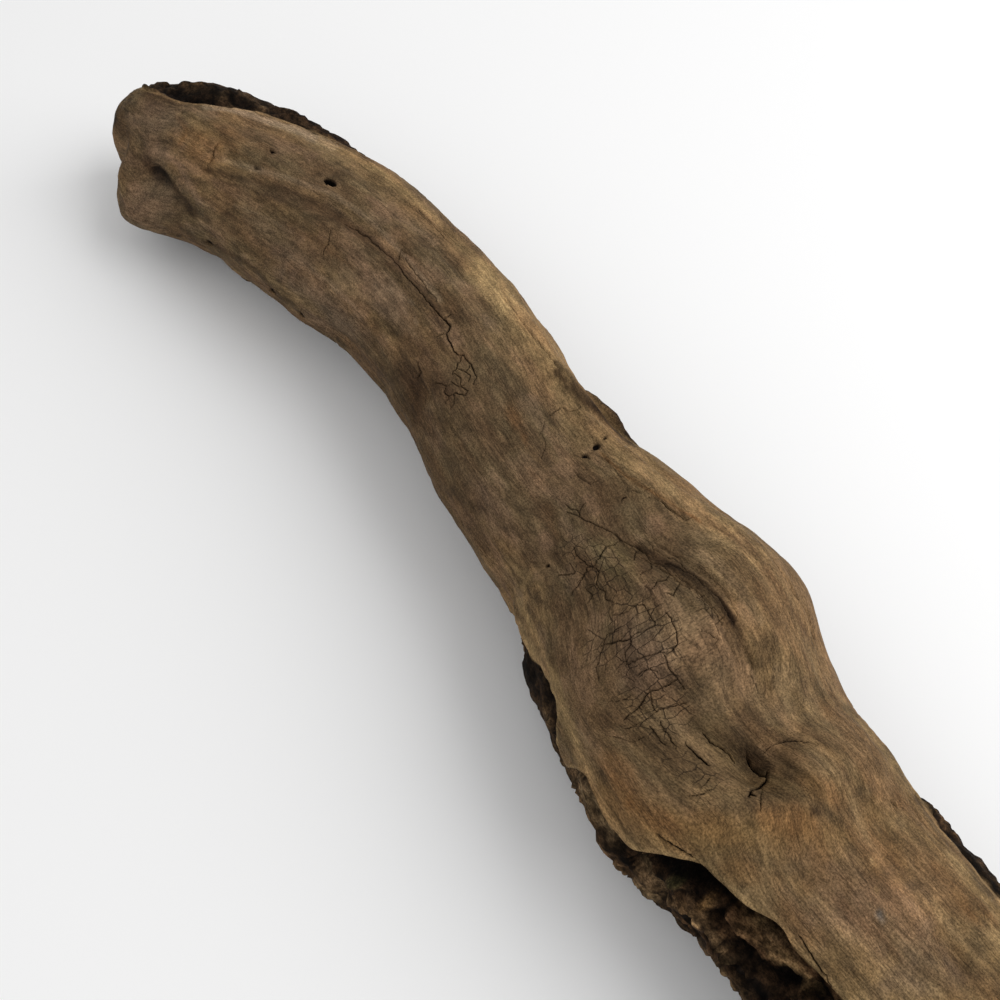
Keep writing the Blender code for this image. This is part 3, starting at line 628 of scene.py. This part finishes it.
def camera_axes():
    """The camera's right, up and forward directions."""
    tilt, turn = math.radians(ELEVATION), math.radians(AZIMUTH)
    level = math.cos(tilt)
    forward = np.array([-math.sin(turn) * level, math.cos(turn) * level, -math.sin(tilt)])
    right = np.array([math.cos(turn), math.sin(turn), 0.0])
    return right, np.cross(right, forward), forward


def photo_xy(points):
    """The photograph's pixels that the points fall on."""
    right, up, forward = camera_axes()
    away = points - (TARGET - forward * DISTANCE)
    size = (away @ forward) * SENSOR / LENS / PHOTO_SIZE
    return stacked(PHOTO_SIZE / 2 + (away @ right) / size, PHOTO_SIZE / 2 - (away @ up) / size)


def oval(spots, x, y, half_length, half_width, turn):
    """How far out in an oval each spot is: 0 at its middle and 1 on its edge."""
    lengthways, crossways = turned(spots - np.array([x, y], float), turn)
    return np.hypot(lengthways / half_length, crossways / half_width)


def course_points(course):
    """The points of a course that is written as x, y, x, y and so on."""
    return np.array(course, float).reshape(-1, 2)


def wiggled(points, seed):
    """A course in pixels with closer points, and small kinks between them as wood tears."""
    reach = np.concatenate([[0.0], np.cumsum(np.hypot(*np.diff(points, axis=0).T))])
    at = np.linspace(0, reach[-1], max(3, int(reach[-1] / KINK_GAP)))
    fine = stacked(np.interp(at, reach, points[:, 0]), np.interp(at, reach, points[:, 1]))
    for length, swing in KINKS:
        spot = stacked(at / length, seed * 7.3, 0.0)
        fine += stacked(noise(spot, 21), noise(spot, 22)) * swing
    return fine


def to_course(spots, course):
    """Distance in pixels from each spot to a course, and how far along it the nearest point is."""
    best = np.full(len(spots), 1e9)
    place = np.zeros(len(spots))
    for i in range(len(course) - 1):
        run = course[i + 1] - course[i]
        t = np.clip(((spots - course[i]) @ run) / max(run @ run, 1e-9), 0, 1)
        distance = np.hypot(*(spots - (course[i] + t[:, None] * run)).T)
        nearer = distance < best
        best = np.where(nearer, distance, best)
        place = np.where(nearer, (i + t) / (len(course) - 1), place)
    return best, place


def bent_angle(x, angle):
    """The angle of the fibre that passes each point, as the grain bends round the burl and the fold."""
    courses = {name: course for name, _, _, course in GRAIN_LINES}
    outside, inside = BEND_FADE
    bend = np.zeros(len(x))
    for name, reach, share in GRAIN_BENDS:
        course = np.array(courses[name], float)
        line = one_along(x, course)
        start, stop = course[0, 0], course[-1, 0]
        fade = step(start - outside, start + inside, x) * (1 - step(stop - inside, stop + outside, x))
        bend += (line - course[:, 1].mean()) * share * fade * hump(angle, line, reach * 1.4)
    return angle - bend


def craze_zone(spots):
    """How strongly the wood is crazed at each spot, 0 to 1."""
    zone = np.zeros(len(spots))
    for *where, strength in CRAZED:
        zone = np.maximum(zone, strength * (1 - step(0.45, 1.15, oval(spots, *where))))
    return zone


class Skin:
    """What is known of each point of the skin: place, log coordinates, photo pixels and marks."""

    def __init__(self, x, share):
        self.x = x
        self.angle = angle_at(x, share)
        self.points, self.log = surface(x, share)
        ahead = surface(x + 0.4, share)[0] - surface(x - 0.4, share)[0]
        beside = surface(x, (share + 0.0015) % 1.0)[0] - surface(x, (share - 0.0015) % 1.0)[0]
        normal = np.cross(beside, ahead)
        normal /= np.maximum(np.linalg.norm(normal, axis=1), 1e-9)[:, None]
        self.spots = photo_xy(self.points)
        self.seen = -(normal @ camera_axes()[2]) > 0.03
        self.rot = rot_share(x, self.angle)
        self.broken = step(*BROKEN_END, x)
        self.craze = craze_zone(self.spots) * self.seen * (1 - self.rot)
        far, near = seams(x)
        self.from_lip = np.min([np.abs(self.angle - edge) for edge in (near, far, far + 360)], axis=0)
        self.mark_cracks()
        self.mark_belly_checks()
        self.holes = np.zeros(len(x))
        for *where, depth in HOLES:
            inside = (1 - step(0.55, 1.15, oval(self.spots, *where))) * self.seen
            self.holes = np.maximum(self.holes, inside * depth)

    def mark_cracks(self):
        """Nearest crack at each point: distance and half width in millimetres, and depth."""
        self.away = np.full(len(self.x), UNMARKED)
        self.half = np.full(len(self.x), 0.05)
        self.depth = np.zeros(len(self.x))
        for number, (half, depth, *course) in enumerate(CRACKS):
            line = wiggled(course_points(course), number)
            low, high = line.min(0) - CRACK_REACH, line.max(0) + CRACK_REACH
            index = np.nonzero(self.seen & ((self.spots > low) & (self.spots < high)).all(1))[0]
            if len(index) == 0:
                continue
            away, along_it = to_course(self.spots[index], line)
            rag = noise(stacked(*self.spots[index].T, 0 * away) / 5.0, 23)
            taper = half * (0.45 + 0.55 * np.sin(np.pi * along_it) ** 0.6) * (0.75 + 0.35 * rag)
            self.keep_nearest(index, away * PIXEL, taper, depth)

    def mark_belly_checks(self):
        """Drying checks along the grain where the photograph doesn't look."""
        rng = np.random.default_rng(7)
        for _ in range(BELLY_CHECKS):
            start, angle, length, half = [rng.uniform(*limits) for limits in CHECK_LIMITS]
            near = (np.abs(self.x - start - length / 2) < length / 2 + 3) & (self.rot + ~self.seen > 0.5)
            index = np.nonzero(near)[0]
            x = self.x[index]
            line = angle + 3.5 * noise(stacked(x / 6.0, angle, 0.0), 41)
            turn = (self.angle[index] - line + 180) % 360 - 180
            past = np.maximum(np.maximum(start - x, x - start - length), 0)
            away = np.hypot(np.radians(turn) * BELLY_RADIUS, past)
            along_it = np.clip((x - start) / length, 0.02, 0.98)
            self.keep_nearest(index, away, half * np.sin(np.pi * along_it) ** 0.6, CHECK_DEPTH)

    def keep_nearest(self, index, away, half, depth):
        """Takes over a crack's marks at the points where it is nearer than the cracks before it."""
        better = away - half < self.away[index] - self.half[index]
        chosen = index[better]
        self.away[chosen] = away[better]
        self.half[chosen] = half[better]
        self.depth[chosen] = depth

    def dents(self):
        """How far the dents and lumps push the wood in, in millimetres."""
        total = np.zeros(len(self.x))
        for dents, share in ((SOUND_DENTS, 1 - self.rot), (ROT_DENTS, self.rot)):
            for *where, depth in dents:
                total += depth * np.exp(-(oval(self.spots, *where) ** 2) * 1.1) * share * self.seen
        return total

    def fine_relief(self):
        """Small relief in millimetres out from the pith: fibres, cracks, dents and bore holes."""
        log, rot = self.log, self.rot
        sound = sum(height * streaks(log, *grain) for height, *grain in SOUND_FIBRES)
        height, *grain = THIN_END_LUMPS
        sound += height * step(-150, -200, self.x) * streaks(log, *grain)
        patch = step(-0.3, 0.5, streaks(log, 30.0, 14.0, 60))
        sound -= 0.75 * patch * creases(log, *LONG_CREASES, 14)
        sound -= 0.40 * (1 - 0.6 * patch) * creases(log, *SHORT_CREASES, 12)
        rough = -sum(height * np.abs(streaks(log, *grain)) for height, *grain in ROT_FOLDS)
        rough -= 1.4 * creases(log, *ROT_CREASES, 9)
        rough -= 1.0 * creases(log, *ROT_CRACKLE, 8)
        rough += 0.8 * streaks(log, 2.6, 2.6, 56)
        rough -= 2.8 * step(0.28, 0.55, streaks(log, 13.0, 6.0, 57))
        rough += 1.6
        near_strip = (1 - step(104, 122, self.x)) * step(20, 50, self.x) * hump(self.angle, 205.0, 30.0)
        far_waist = hump(self.x, 0.0, 40.0) * hump(self.angle, 388.0, 30.0)
        far_edge = np.maximum(hump(self.angle, 395.0, 45.0), hump(self.angle, 40.0, 45.0))
        for zone, eased in ((near_strip, 0.55), (far_waist, 0.6), (far_edge, 0.6)):
            rough *= 1 - eased * zone
        fine = sound * (1 - rot) + rough * rot
        fine -= self.depth * np.clip(1 - self.away / (self.half * 1.5 + 0.12), 0, 1)
        fine += 0.12 * hump(self.away, self.half + 0.55, 0.7) * (self.away < 2.5)
        return fine - self.holes - self.dents()


def tone(name):
    """A tone's colour as light reflected, from its look on the screen."""
    c = np.array(TONES[name], float) / 255
    return np.where(c <= 0.04045, c / 12.92, ((c + 0.055) / 1.055) ** 2.4)


def layered(colour, layers):
    """Colour with named tones laid over it in turn, each with its share at every point."""
    for name, share in layers:
        colour = colour + (tone(name) - colour) * np.clip(share, 0, 1)[:, None]
    return colour


def sound_colour(skin, mid, small):
    """Colour of the sound wood, and of the year rings on the broken end, with painted shade in its creases
    and the strokes' painted shade and highlights.
    """
    log = skin.log
    broad = streaks(log, 46.0, 17.0, 61)
    blotch = streaks(log, 9.0, 4.0, 66)
    warm = step(40, 190, skin.x) * 0.6
    year_rings = np.sin(np.hypot(log[:, 1], log[:, 2]) * 2.4 + 1.6 * mid)
    colour = layered(tone("drab")[None], (
        ("grey", step(-0.1, 0.6, broad + 0.4 * mid) * 0.8),
        ("tan", step(0.0, 0.8, -broad + 0.5 * mid + 0.2 * small) * 0.75),
        ("ochre", warm * (0.55 + 0.35 * small)),
        ("shade", 0.5 * step(0.1, 0.45, blotch + 0.3 * small)),
        ("blush", 0.35 * step(0.15, 0.5, -blotch + 0.3 * small) * (1 - warm)),
        ("pale", 0.3 * step(0.25, 0.6, -blotch + 0.3 * small) * warm / 0.6),
        # umber along the same creases that are cut into the relief: painted shade in them
        ("umber", 0.35 * creases(log, *LONG_CREASES, 18)),
        ("umber", 0.20 * creases(log, *SHORT_CREASES, 14)),
        ("rust", 0.18 * step(0.25, 0.7, streaks(log, 12.0, 7.0, 64)) * (0.4 + warm)),
        ("brown", 0.75 * skin.broken),
        ("umber", 0.5 * step(-0.1, 0.8, year_rings + 0.5 * small) * skin.broken),
    ))
    for half, name, strength, *course in STROKES:
        ragged = to_course(skin.spots, course_points(course))[0] / half + 0.25 * mid
        share = (1 - step(0.3, 1.35, ragged)) * strength * skin.seen * (1 - skin.rot)
        colour = layered(colour, ((name, share),))
    return layered(colour, (("pale", 0.4 * hump(skin.from_lip, 1.5, 2.5) * skin.seen),))


def rot_colour(skin, fine, mid, small):
    """Colour of the rotted wood: painted light where its relief stands out, and painted shade in its depths
    and creases and under the lips, over dark damp blotches.
    """
    log = skin.log
    damp = step(0.0, 0.5, streaks(log, 12.0, 5.0, 65) + 0.4 * small)
    return layered(tone("umber")[None], (
        # brown and drab where the relief stands out: painted light on the raised rot
        ("brown", step(-1.4, 0.6, fine + 0.4 * small) * 0.9),
        ("drab", step(-0.2, 1.0, fine + 0.6 * mid) * 0.55),
        # black in the depths and in damp blotches: painted shade in the depths, and real dark in the
        # blotches
        ("black_rot_and_shadow", np.maximum(damp * 0.75, 1 - step(-3.0, -1.0, fine + 0.5 * small))),
        # black beside the lips: painted shadow under them
        ("black_rot_and_shadow", 0.7 * hump(skin.from_lip, 2.5, 3.5)),
        # black along the creases that are cut into the relief: painted shade in them
        ("black_rot_and_shadow", 0.8 * creases(log, *ROT_CREASES, 8)),
        ("black_rot_and_shadow", 0.8 * creases(log, *ROT_CRACKLE, 7)),
    ))


def skin_colour(skin, fine):
    """Base colour of each point of the skin."""
    mid = streaks(skin.log, 15.0, 6.0, 62)
    small = streaks(skin.log, 3.2, 3.2, 63)
    sound, rotted = sound_colour(skin, mid, small), rot_colour(skin, fine, mid, small)
    colour = sound + (rotted - sound) * skin.rot[:, None]
    for patches, side in ((PATCHES, 1 - skin.rot), (ROT_PATCHES, skin.rot)):
        for *where, name, strength in patches:
            reach = oval(skin.spots, *where) + 0.35 * mid + 0.2 * small
            share = (1 - step(0.35, 1.3, reach)) * strength * skin.seen * side
            colour = layered(colour, ((name, share),))
    # bore holes painted near black: painted shadow in them
    return np.clip(layered(colour, (("black_rot_and_shadow", step(0.3, 1.2, skin.holes)),)), 0.001, 1)


def cap_rows(cap):
    """How far in from an end the rings of its cap are, so that they close in evenly on its middle."""
    length, power = cap
    shares = np.array((0.0,) + CAP_SHARES)
    return length * (1 - (1 - shares**power) ** (1 / power))


def rows_along():
    """Places of the rings: even along the wood, and closer where the ends round off."""
    start, stop = STATIONS[0][0], STATIONS[-1][0]
    thin = start + cap_rows(THIN_CAP)
    thick = stop - cap_rows(THICK_CAP)
    middle = np.linspace(start + THIN_CAP[0], stop - THICK_CAP[0], RINGS - len(thin) - len(thick))
    return np.concatenate([thin, middle, thick[::-1]])


def shares_round():
    """Shares of the way round from the wrap in the belly, over the crown and back to the wrap."""
    side = np.linspace(0, 1, ROT_COLUMNS // 2, endpoint=False)
    crown = np.linspace(1.0, 1.5, CROWN_COLUMNS, endpoint=False)
    far_side = WRAP + (1 - WRAP) * (1 - (1 - side) ** CLOSER_TO_LIPS)
    near_side = 1.5 + (WRAP - 0.5) * side**CLOSER_TO_LIPS
    return np.concatenate([far_side, crown, near_side, [1.0 + WRAP]])


def place(rows, shares, flat):
    """x and share of the way round for flat grid coordinates (ring, column)."""
    x = np.interp(flat[:, 0], np.arange(len(rows)), rows)
    return x, np.interp(flat[:, 1], np.arange(len(shares)), shares) % 1.0


def split_faces(bm, wanted, cuts):
    """Cuts the wanted faces of the flat grid into smaller ones."""
    edges = {edge for face, want in zip(bm.faces, wanted) if want for edge in face.edges}
    bmesh.ops.subdivide_edges(bm, edges=list(edges), cuts=cuts, use_grid_fill=True, use_single_edge=True)


def face_middles(bm):
    """The flat grid coordinates of each face's middle."""
    return np.array([face.calc_center_median()[:2] for face in bm.faces])


def flat_grid(rows, shares):
    """The skin as a flat grid of (ring, column), with smaller faces where there is more to show."""
    rings, columns = len(rows), len(shares)
    bm = bmesh.new()
    verts = [bm.verts.new((ring, column, 0.0)) for ring in range(rings) for column in range(columns)]
    for ring, column in product(range(rings - 1), range(columns - 1)):
        a = ring * columns + column
        bm.faces.new((verts[a], verts[a + 1], verts[a + columns + 1], verts[a + columns]))
    skin = Skin(*place(rows, shares, face_middles(bm)))
    close = (skin.away < skin.half + 1.0) & skin.seen
    hollow = skin.seen & (skin.rot > 0.5) & (skin.x > HOLLOW_START)
    lip = (skin.from_lip < 3.5) & skin.seen
    split_faces(bm, close | hollow | lip | (skin.holes > 0.05), 2)
    skin = Skin(*place(rows, shares, face_middles(bm)))
    small = np.array([face.calc_area() < 0.3 for face in bm.faces])
    close = (skin.away < skin.half + 0.3) & skin.seen & small & (skin.rot < 0.5)
    split_faces(bm, close | (skin.holes > 0.05), 1)
    return bm


def broken_relief(points):
    """How far the torn fibres of the thick end stand out, in millimetres along the pith."""
    return 1.8 * streaks(points, 9.0, 2.8, 81) - 1.6 * np.abs(streaks(points, 12.0, 4.5, 82)) - 0.6


def driftwood():
    """The skin as one closed mesh, with the marks that its material reads."""
    rows, shares = rows_along(), shares_round()
    bm = flat_grid(rows, shares)
    mesh = bpy.data.meshes.new("driftwood_skin")
    bm.to_mesh(mesh)
    bm.free()
    count = len(mesh.vertices)
    flat = np.empty(count * 3)
    mesh.vertices.foreach_get("co", flat)
    flat = flat.reshape(-1, 3)[:, :2]
    x, share = place(rows, shares, flat)
    skin = Skin(x, share)
    fine = skin.fine_relief()
    points, log = surface(x, share, fine)
    points[:, 0] += skin.broken * broken_relief(points)
    points[:, 2] = np.maximum(points[:, 2], 0.0)
    mesh.vertices.foreach_set("co", (points * MM).ravel())
    colour = np.concatenate([skin_colour(skin, fine), np.ones((count, 1))], 1)
    for name, kind, field, values in (
        ("tone", "FLOAT_COLOR", "color", colour),
        ("log", "FLOAT_VECTOR", "vector", log),
        ("marks", "FLOAT_VECTOR", "vector", stacked(skin.away, skin.half, skin.craze)),
        ("rot", "FLOAT", "value", np.maximum(skin.rot, 0.6 * skin.broken)),
    ):
        mesh.attributes.new(name, kind, "POINT").data.foreach_set(field, values.ravel())
    corners = np.empty(len(mesh.loops), np.int32)
    mesh.loops.foreach_get("vertex_index", corners)
    uv = stacked(flat[:, 1] / (len(shares) - 1), flat[:, 0] / (len(rows) - 1))[corners]
    mesh.uv_layers.new(name="OFBake").data.foreach_set("uv", uv.ravel())
    weld(mesh, flat, len(rows) - 1, len(shares) - 1)
    return mesh


def weld(mesh, flat, last_ring, last_column):
    """Closes the skin: joins the two sides of the wrap, and each end's innermost ring into one point."""
    bm = bmesh.new()
    bm.from_mesh(mesh)
    bm.verts.ensure_lookup_table()
    rim = (flat[:, 0] == 0) | (flat[:, 0] == last_ring) | (flat[:, 1] == 0) | (flat[:, 1] == last_column)
    bmesh.ops.remove_doubles(bm, verts=[bm.verts[i] for i in np.nonzero(rim)[0]], dist=1e-6)
    bmesh.ops.recalc_face_normals(bm, faces=bm.faces)
    bm.to_mesh(mesh)
    bm.free()
    mesh.shade_smooth()


class Nodes:
    """Short ways to add shader nodes to one material and to join them."""

    def __init__(self, tree):
        self.tree = tree

    def add(self, kind, **settings):
        node = self.tree.nodes.new(kind)
        for name, value in settings.items():
            setattr(node, name, value)
        return node

    def feed(self, socket, value):
        """Joins another node's output to a socket, or sets the constant on it."""
        if isinstance(value, bpy.types.NodeSocket):
            self.tree.links.new(value, socket)
        else:
            socket.default_value = value

    def attribute(self, name, output):
        node = self.add("ShaderNodeAttribute", attribute_name=name, attribute_type="GEOMETRY")
        return node.outputs[output]

    def split(self, vector):
        parts = self.add("ShaderNodeSeparateXYZ")
        self.feed(parts.inputs[0], vector)
        return parts.outputs

    def combine(self, *values):
        whole = self.add("ShaderNodeCombineXYZ")
        for socket, value in zip(whole.inputs, values):
            self.feed(socket, value)
        return whole.outputs[0]

    def maths(self, operation, *values):
        node = self.add("ShaderNodeMath", operation=operation)
        for socket, value in zip(node.inputs, values):
            self.feed(socket, value)
        return node.outputs[0]

    def times(self, first, second):
        return self.maths("MULTIPLY", first, second)

    def plus(self, first, second):
        return self.maths("ADD", first, second)

    def minus(self, first, second):
        return self.maths("SUBTRACT", first, second)

    def noise(self, place, length, width, detail=2.0, roughness=0.5):
        """Noise over millimetre coordinates: length along the grain and width across it."""
        scaled = self.add("ShaderNodeVectorMath", operation="MULTIPLY")
        self.feed(scaled.inputs[0], place)
        scaled.inputs[1].default_value = (1 / length, 1 / width, 1 / width)
        texture = self.add("ShaderNodeTexNoise", noise_dimensions="3D")
        for name, value in (("Scale", 1.0), ("Detail", detail), ("Roughness", roughness)):
            texture.inputs[name].default_value = value
        self.feed(texture.inputs["Vector"], scaled.outputs[0])
        return texture.outputs["Fac"]

    def hairlines(self, place, length, width, half):
        """Thin winding lines along the grain, where noise passes through its middle value."""
        off = self.maths("ABSOLUTE", self.minus(self.noise(place, length, width, 3.0, 0.5), 0.5))
        return self.ramp(off, half * 0.2, half, 1.0, 0.0)

    def crazing(self, place, cell, half, rarity):
        """Thin cracks between irregular blocks, cell millimetres along the grain and round, broken up."""
        x, y, z = self.split(place)
        turn = self.times(self.maths("ARCTAN2", z, y), CRAZE_RADIUS)
        waver = self.times(self.noise(place, 3.0, 3.0, 3.0, 0.6), 1.7)
        quiver = self.times(self.noise(place, 2.7, 2.7, 3.0, 0.6), 1.7)
        along_it = self.maths("DIVIDE", self.plus(x, waver), cell[0])
        round_it = self.maths("DIVIDE", self.plus(turn, quiver), cell[1])
        blocks = self.add("ShaderNodeTexVoronoi", voronoi_dimensions="2D", feature="DISTANCE_TO_EDGE")
        blocks.inputs["Randomness"].default_value = 0.7
        blocks.inputs["Scale"].default_value = 1.0
        self.feed(blocks.inputs["Vector"], self.combine(along_it, round_it))
        edge = self.times(blocks.outputs["Distance"], cell[0])
        line = self.ramp(edge, half, half * 2.4, 1.0, 0.0)
        return self.times(line, self.ramp(self.noise(place, 6.0, 5.0), rarity, rarity + 0.12))

    def ramp(self, value, low, high, to_low=0.0, to_high=1.0):
        node = self.add("ShaderNodeMapRange", interpolation_type="SMOOTHSTEP")
        limits = (("From Min", low), ("From Max", high), ("To Min", to_low), ("To Max", to_high))
        for name, limit in limits:
            node.inputs[name].default_value = limit
        self.feed(node.inputs["Value"], value)
        return node.outputs["Result"]

    def mix(self, share, first, second, blend_type="MIX"):
        node = self.add("ShaderNodeMix", data_type="RGBA", blend_type=blend_type)
        for number, value in ((0, share), (6, first), (7, second)):
            self.feed(node.inputs[number], value)
        return node.outputs[2]


def weathered_wood():
    """Weathered wood: the skin's tones, with their painted shade and light, and fibres, speckle and the
    cracks' painted shadow over them.
    """
    material = bpy.data.materials.new("weathered_wood_skin")
    material.use_nodes = True
    shader = material.node_tree.nodes["Principled BSDF"]
    n = Nodes(material.node_tree)
    log = n.attribute("log", "Vector")
    rot = n.attribute("rot", "Fac")
    away, half, craze = n.split(n.attribute("marks", "Vector"))
    noises = {name: n.noise(log, *kind) for name, kind in WOOD_NOISES.items()}
    grain, speckle, fibre, patch, mottle, crumb = [
        noises[name] for name in ("grain", "speckle", "fibre", "patch", "mottle", "crumb")]

    lines = n.maths("MAXIMUM", n.hairlines(log, 30.0, 2.8, 0.024), n.hairlines(log, 16.0, 1.7, 0.018))
    lines = n.times(lines, n.ramp(patch, 0.34, 0.60, 0.1, 0.8))
    threads = n.times(n.ramp(noises["thread"], 0.56, 0.70), n.ramp(patch, 0.42, 0.62))
    threads = n.minus(1.0, n.times(n.maths("MAXIMUM", threads, lines), 0.36))
    sound = n.times(n.ramp(fibre, 0.32, 0.68, 0.84, 1.16), threads)
    sound = n.times(sound, n.ramp(grain, 0.32, 0.68, 0.84, 1.16))
    crumbly = n.times(n.ramp(crumb, 0.34, 0.66, 0.5, 1.5), n.ramp(noises["clod"], 0.35, 0.6, 0.5, 1.35))
    light = n.plus(n.times(sound, n.minus(1.0, rot)), n.times(crumbly, rot))
    light = n.times(light, n.ramp(mottle, 0.28, 0.72, 0.76, 1.26))
    light = n.times(light, n.ramp(speckle, 0.30, 0.70, 0.72, 1.62))
    tint = n.mix(n.ramp(noises["hue"], 0.35, 0.65), COOL_TINT, WARM_TINT)
    colour = n.mix(1.0, n.attribute("tone", "Color"), tint, "MULTIPLY")
    colour = n.mix(1.0, colour, n.combine(light, light, light), "MULTIPLY")

    jag = n.times(n.minus(n.noise(log, 0.7, 0.7, 2.0, 0.7), 0.5), 0.5)
    gap = n.minus(n.plus(away, jag), half)
    shade = n.times(n.ramp(gap, 0.0, 0.8, 0.22, 0.0), n.ramp(half, 0.06, 0.2, 0.2, 1.0))
    craze_line = n.times(n.crazing(log, (3.4, 5.0), 0.06, 0.34), n.ramp(craze, 0.05, 0.6))
    line = n.times(n.ramp(gap, -0.10, 0.10, 1.0, 0.0), n.ramp(half, 0.03, 0.16, 0.55, 0.9))
    # painted shade beside the cracks, and painted shadow in the crazing and the cracks
    for share, dark in ((shade, CRACK_SHADE), (n.times(craze_line, 0.72), CRAZE_GAP_SHADOW), (line, CRACK_GAP_SHADOW)):
        colour = n.mix(share, colour, dark)
    n.feed(shader.inputs["Base Color"], colour)

    rough = n.ramp(mottle, 0.3, 0.7, 0.72, 0.92)
    n.feed(shader.inputs["Roughness"], n.maths("MAXIMUM", rough, n.times(rot, 0.95)))
    shader.inputs["Specular IOR Level"].default_value = 0.08
    height = n.plus(n.times(fibre, 0.3), n.times(grain, 0.35))
    height = n.plus(height, n.times(speckle, 0.3))
    height = n.minus(height, n.times(lines, 0.35))
    height = n.plus(height, n.times(n.times(crumb, rot), 1.2))
    height = n.minus(height, n.times(n.maths("MAXIMUM", line, craze_line), 0.8))
    bump = n.add("ShaderNodeBump")
    bump.inputs["Strength"].default_value = 0.75
    bump.inputs["Distance"].default_value = 0.5 * MM
    n.feed(bump.inputs["Height"], height)
    n.feed(shader.inputs["Normal"], bump.outputs["Normal"])
    return material


def shown(name, data, spot, facing=None):
    """An object in the scene at a spot, and turned so that it looks along a direction."""
    thing = bpy.data.objects.new(name, data)
    thing.location = spot
    if facing is not None:
        thing.rotation_euler = facing.to_track_quat("-Z", "Y").to_euler()
    bpy.context.scene.collection.objects.link(thing)
    return thing


def studio():
    """A plain pale floor, soft light from the far side and above, and the photograph's camera."""
    floor_mesh = bpy.data.meshes.new("floor")
    corners = [(x * FLOOR_REACH, y * FLOOR_REACH, 0) for x, y in ((-1, -1), (1, -1), (1, 1), (-1, 1))]
    floor_mesh.from_pydata(corners, [], [(0, 1, 2, 3)])
    paper = bpy.data.materials.new("pale_floor")
    paper.use_nodes = True
    paper.node_tree.nodes["Principled BSDF"].inputs["Base Color"].default_value = FLOOR_TONE
    paper.node_tree.nodes["Principled BSDF"].inputs["Roughness"].default_value = 0.9
    floor_mesh.materials.append(paper)
    floor = shown("floor", floor_mesh, (0.0, 0.0, -FLOOR_GAP))
    for name, spot, size, watts in LIGHTS:
        light = bpy.data.lights.new(name, "AREA")
        light.shape = "SQUARE"
        light.size = size
        light.energy = watts
        shown(name, light, spot, Vector(LIT_SPOT) - Vector(spot))
    world = bpy.data.worlds.new("studio")
    world.use_nodes = True
    world.node_tree.nodes["Background"].inputs["Color"].default_value = (1, 1, 1, 1)
    world.node_tree.nodes["Background"].inputs["Strength"].default_value = SKY_LIGHT
    bpy.context.scene.world = world
    lens = bpy.data.cameras.new("camera")
    lens.lens = LENS
    lens.sensor_width = SENSOR
    lens.clip_start = 0.01
    forward = camera_axes()[2]
    bpy.context.scene.camera = shown("camera", lens, (TARGET - forward * DISTANCE) * MM, Vector(forward))
    bpy.context.scene.view_settings.view_transform = "Standard"


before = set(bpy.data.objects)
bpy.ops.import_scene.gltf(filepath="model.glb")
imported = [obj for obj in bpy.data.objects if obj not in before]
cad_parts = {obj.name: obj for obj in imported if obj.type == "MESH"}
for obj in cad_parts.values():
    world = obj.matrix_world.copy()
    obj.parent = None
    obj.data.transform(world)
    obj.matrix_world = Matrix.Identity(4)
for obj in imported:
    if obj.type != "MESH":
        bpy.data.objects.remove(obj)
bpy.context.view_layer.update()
skin = bpy.data.objects.new("driftwood_skin", driftwood())
skin.data.materials.append(weathered_wood())
bpy.context.scene.collection.objects.link(skin)
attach(skin, "root")
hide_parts("driftwood")
studio()
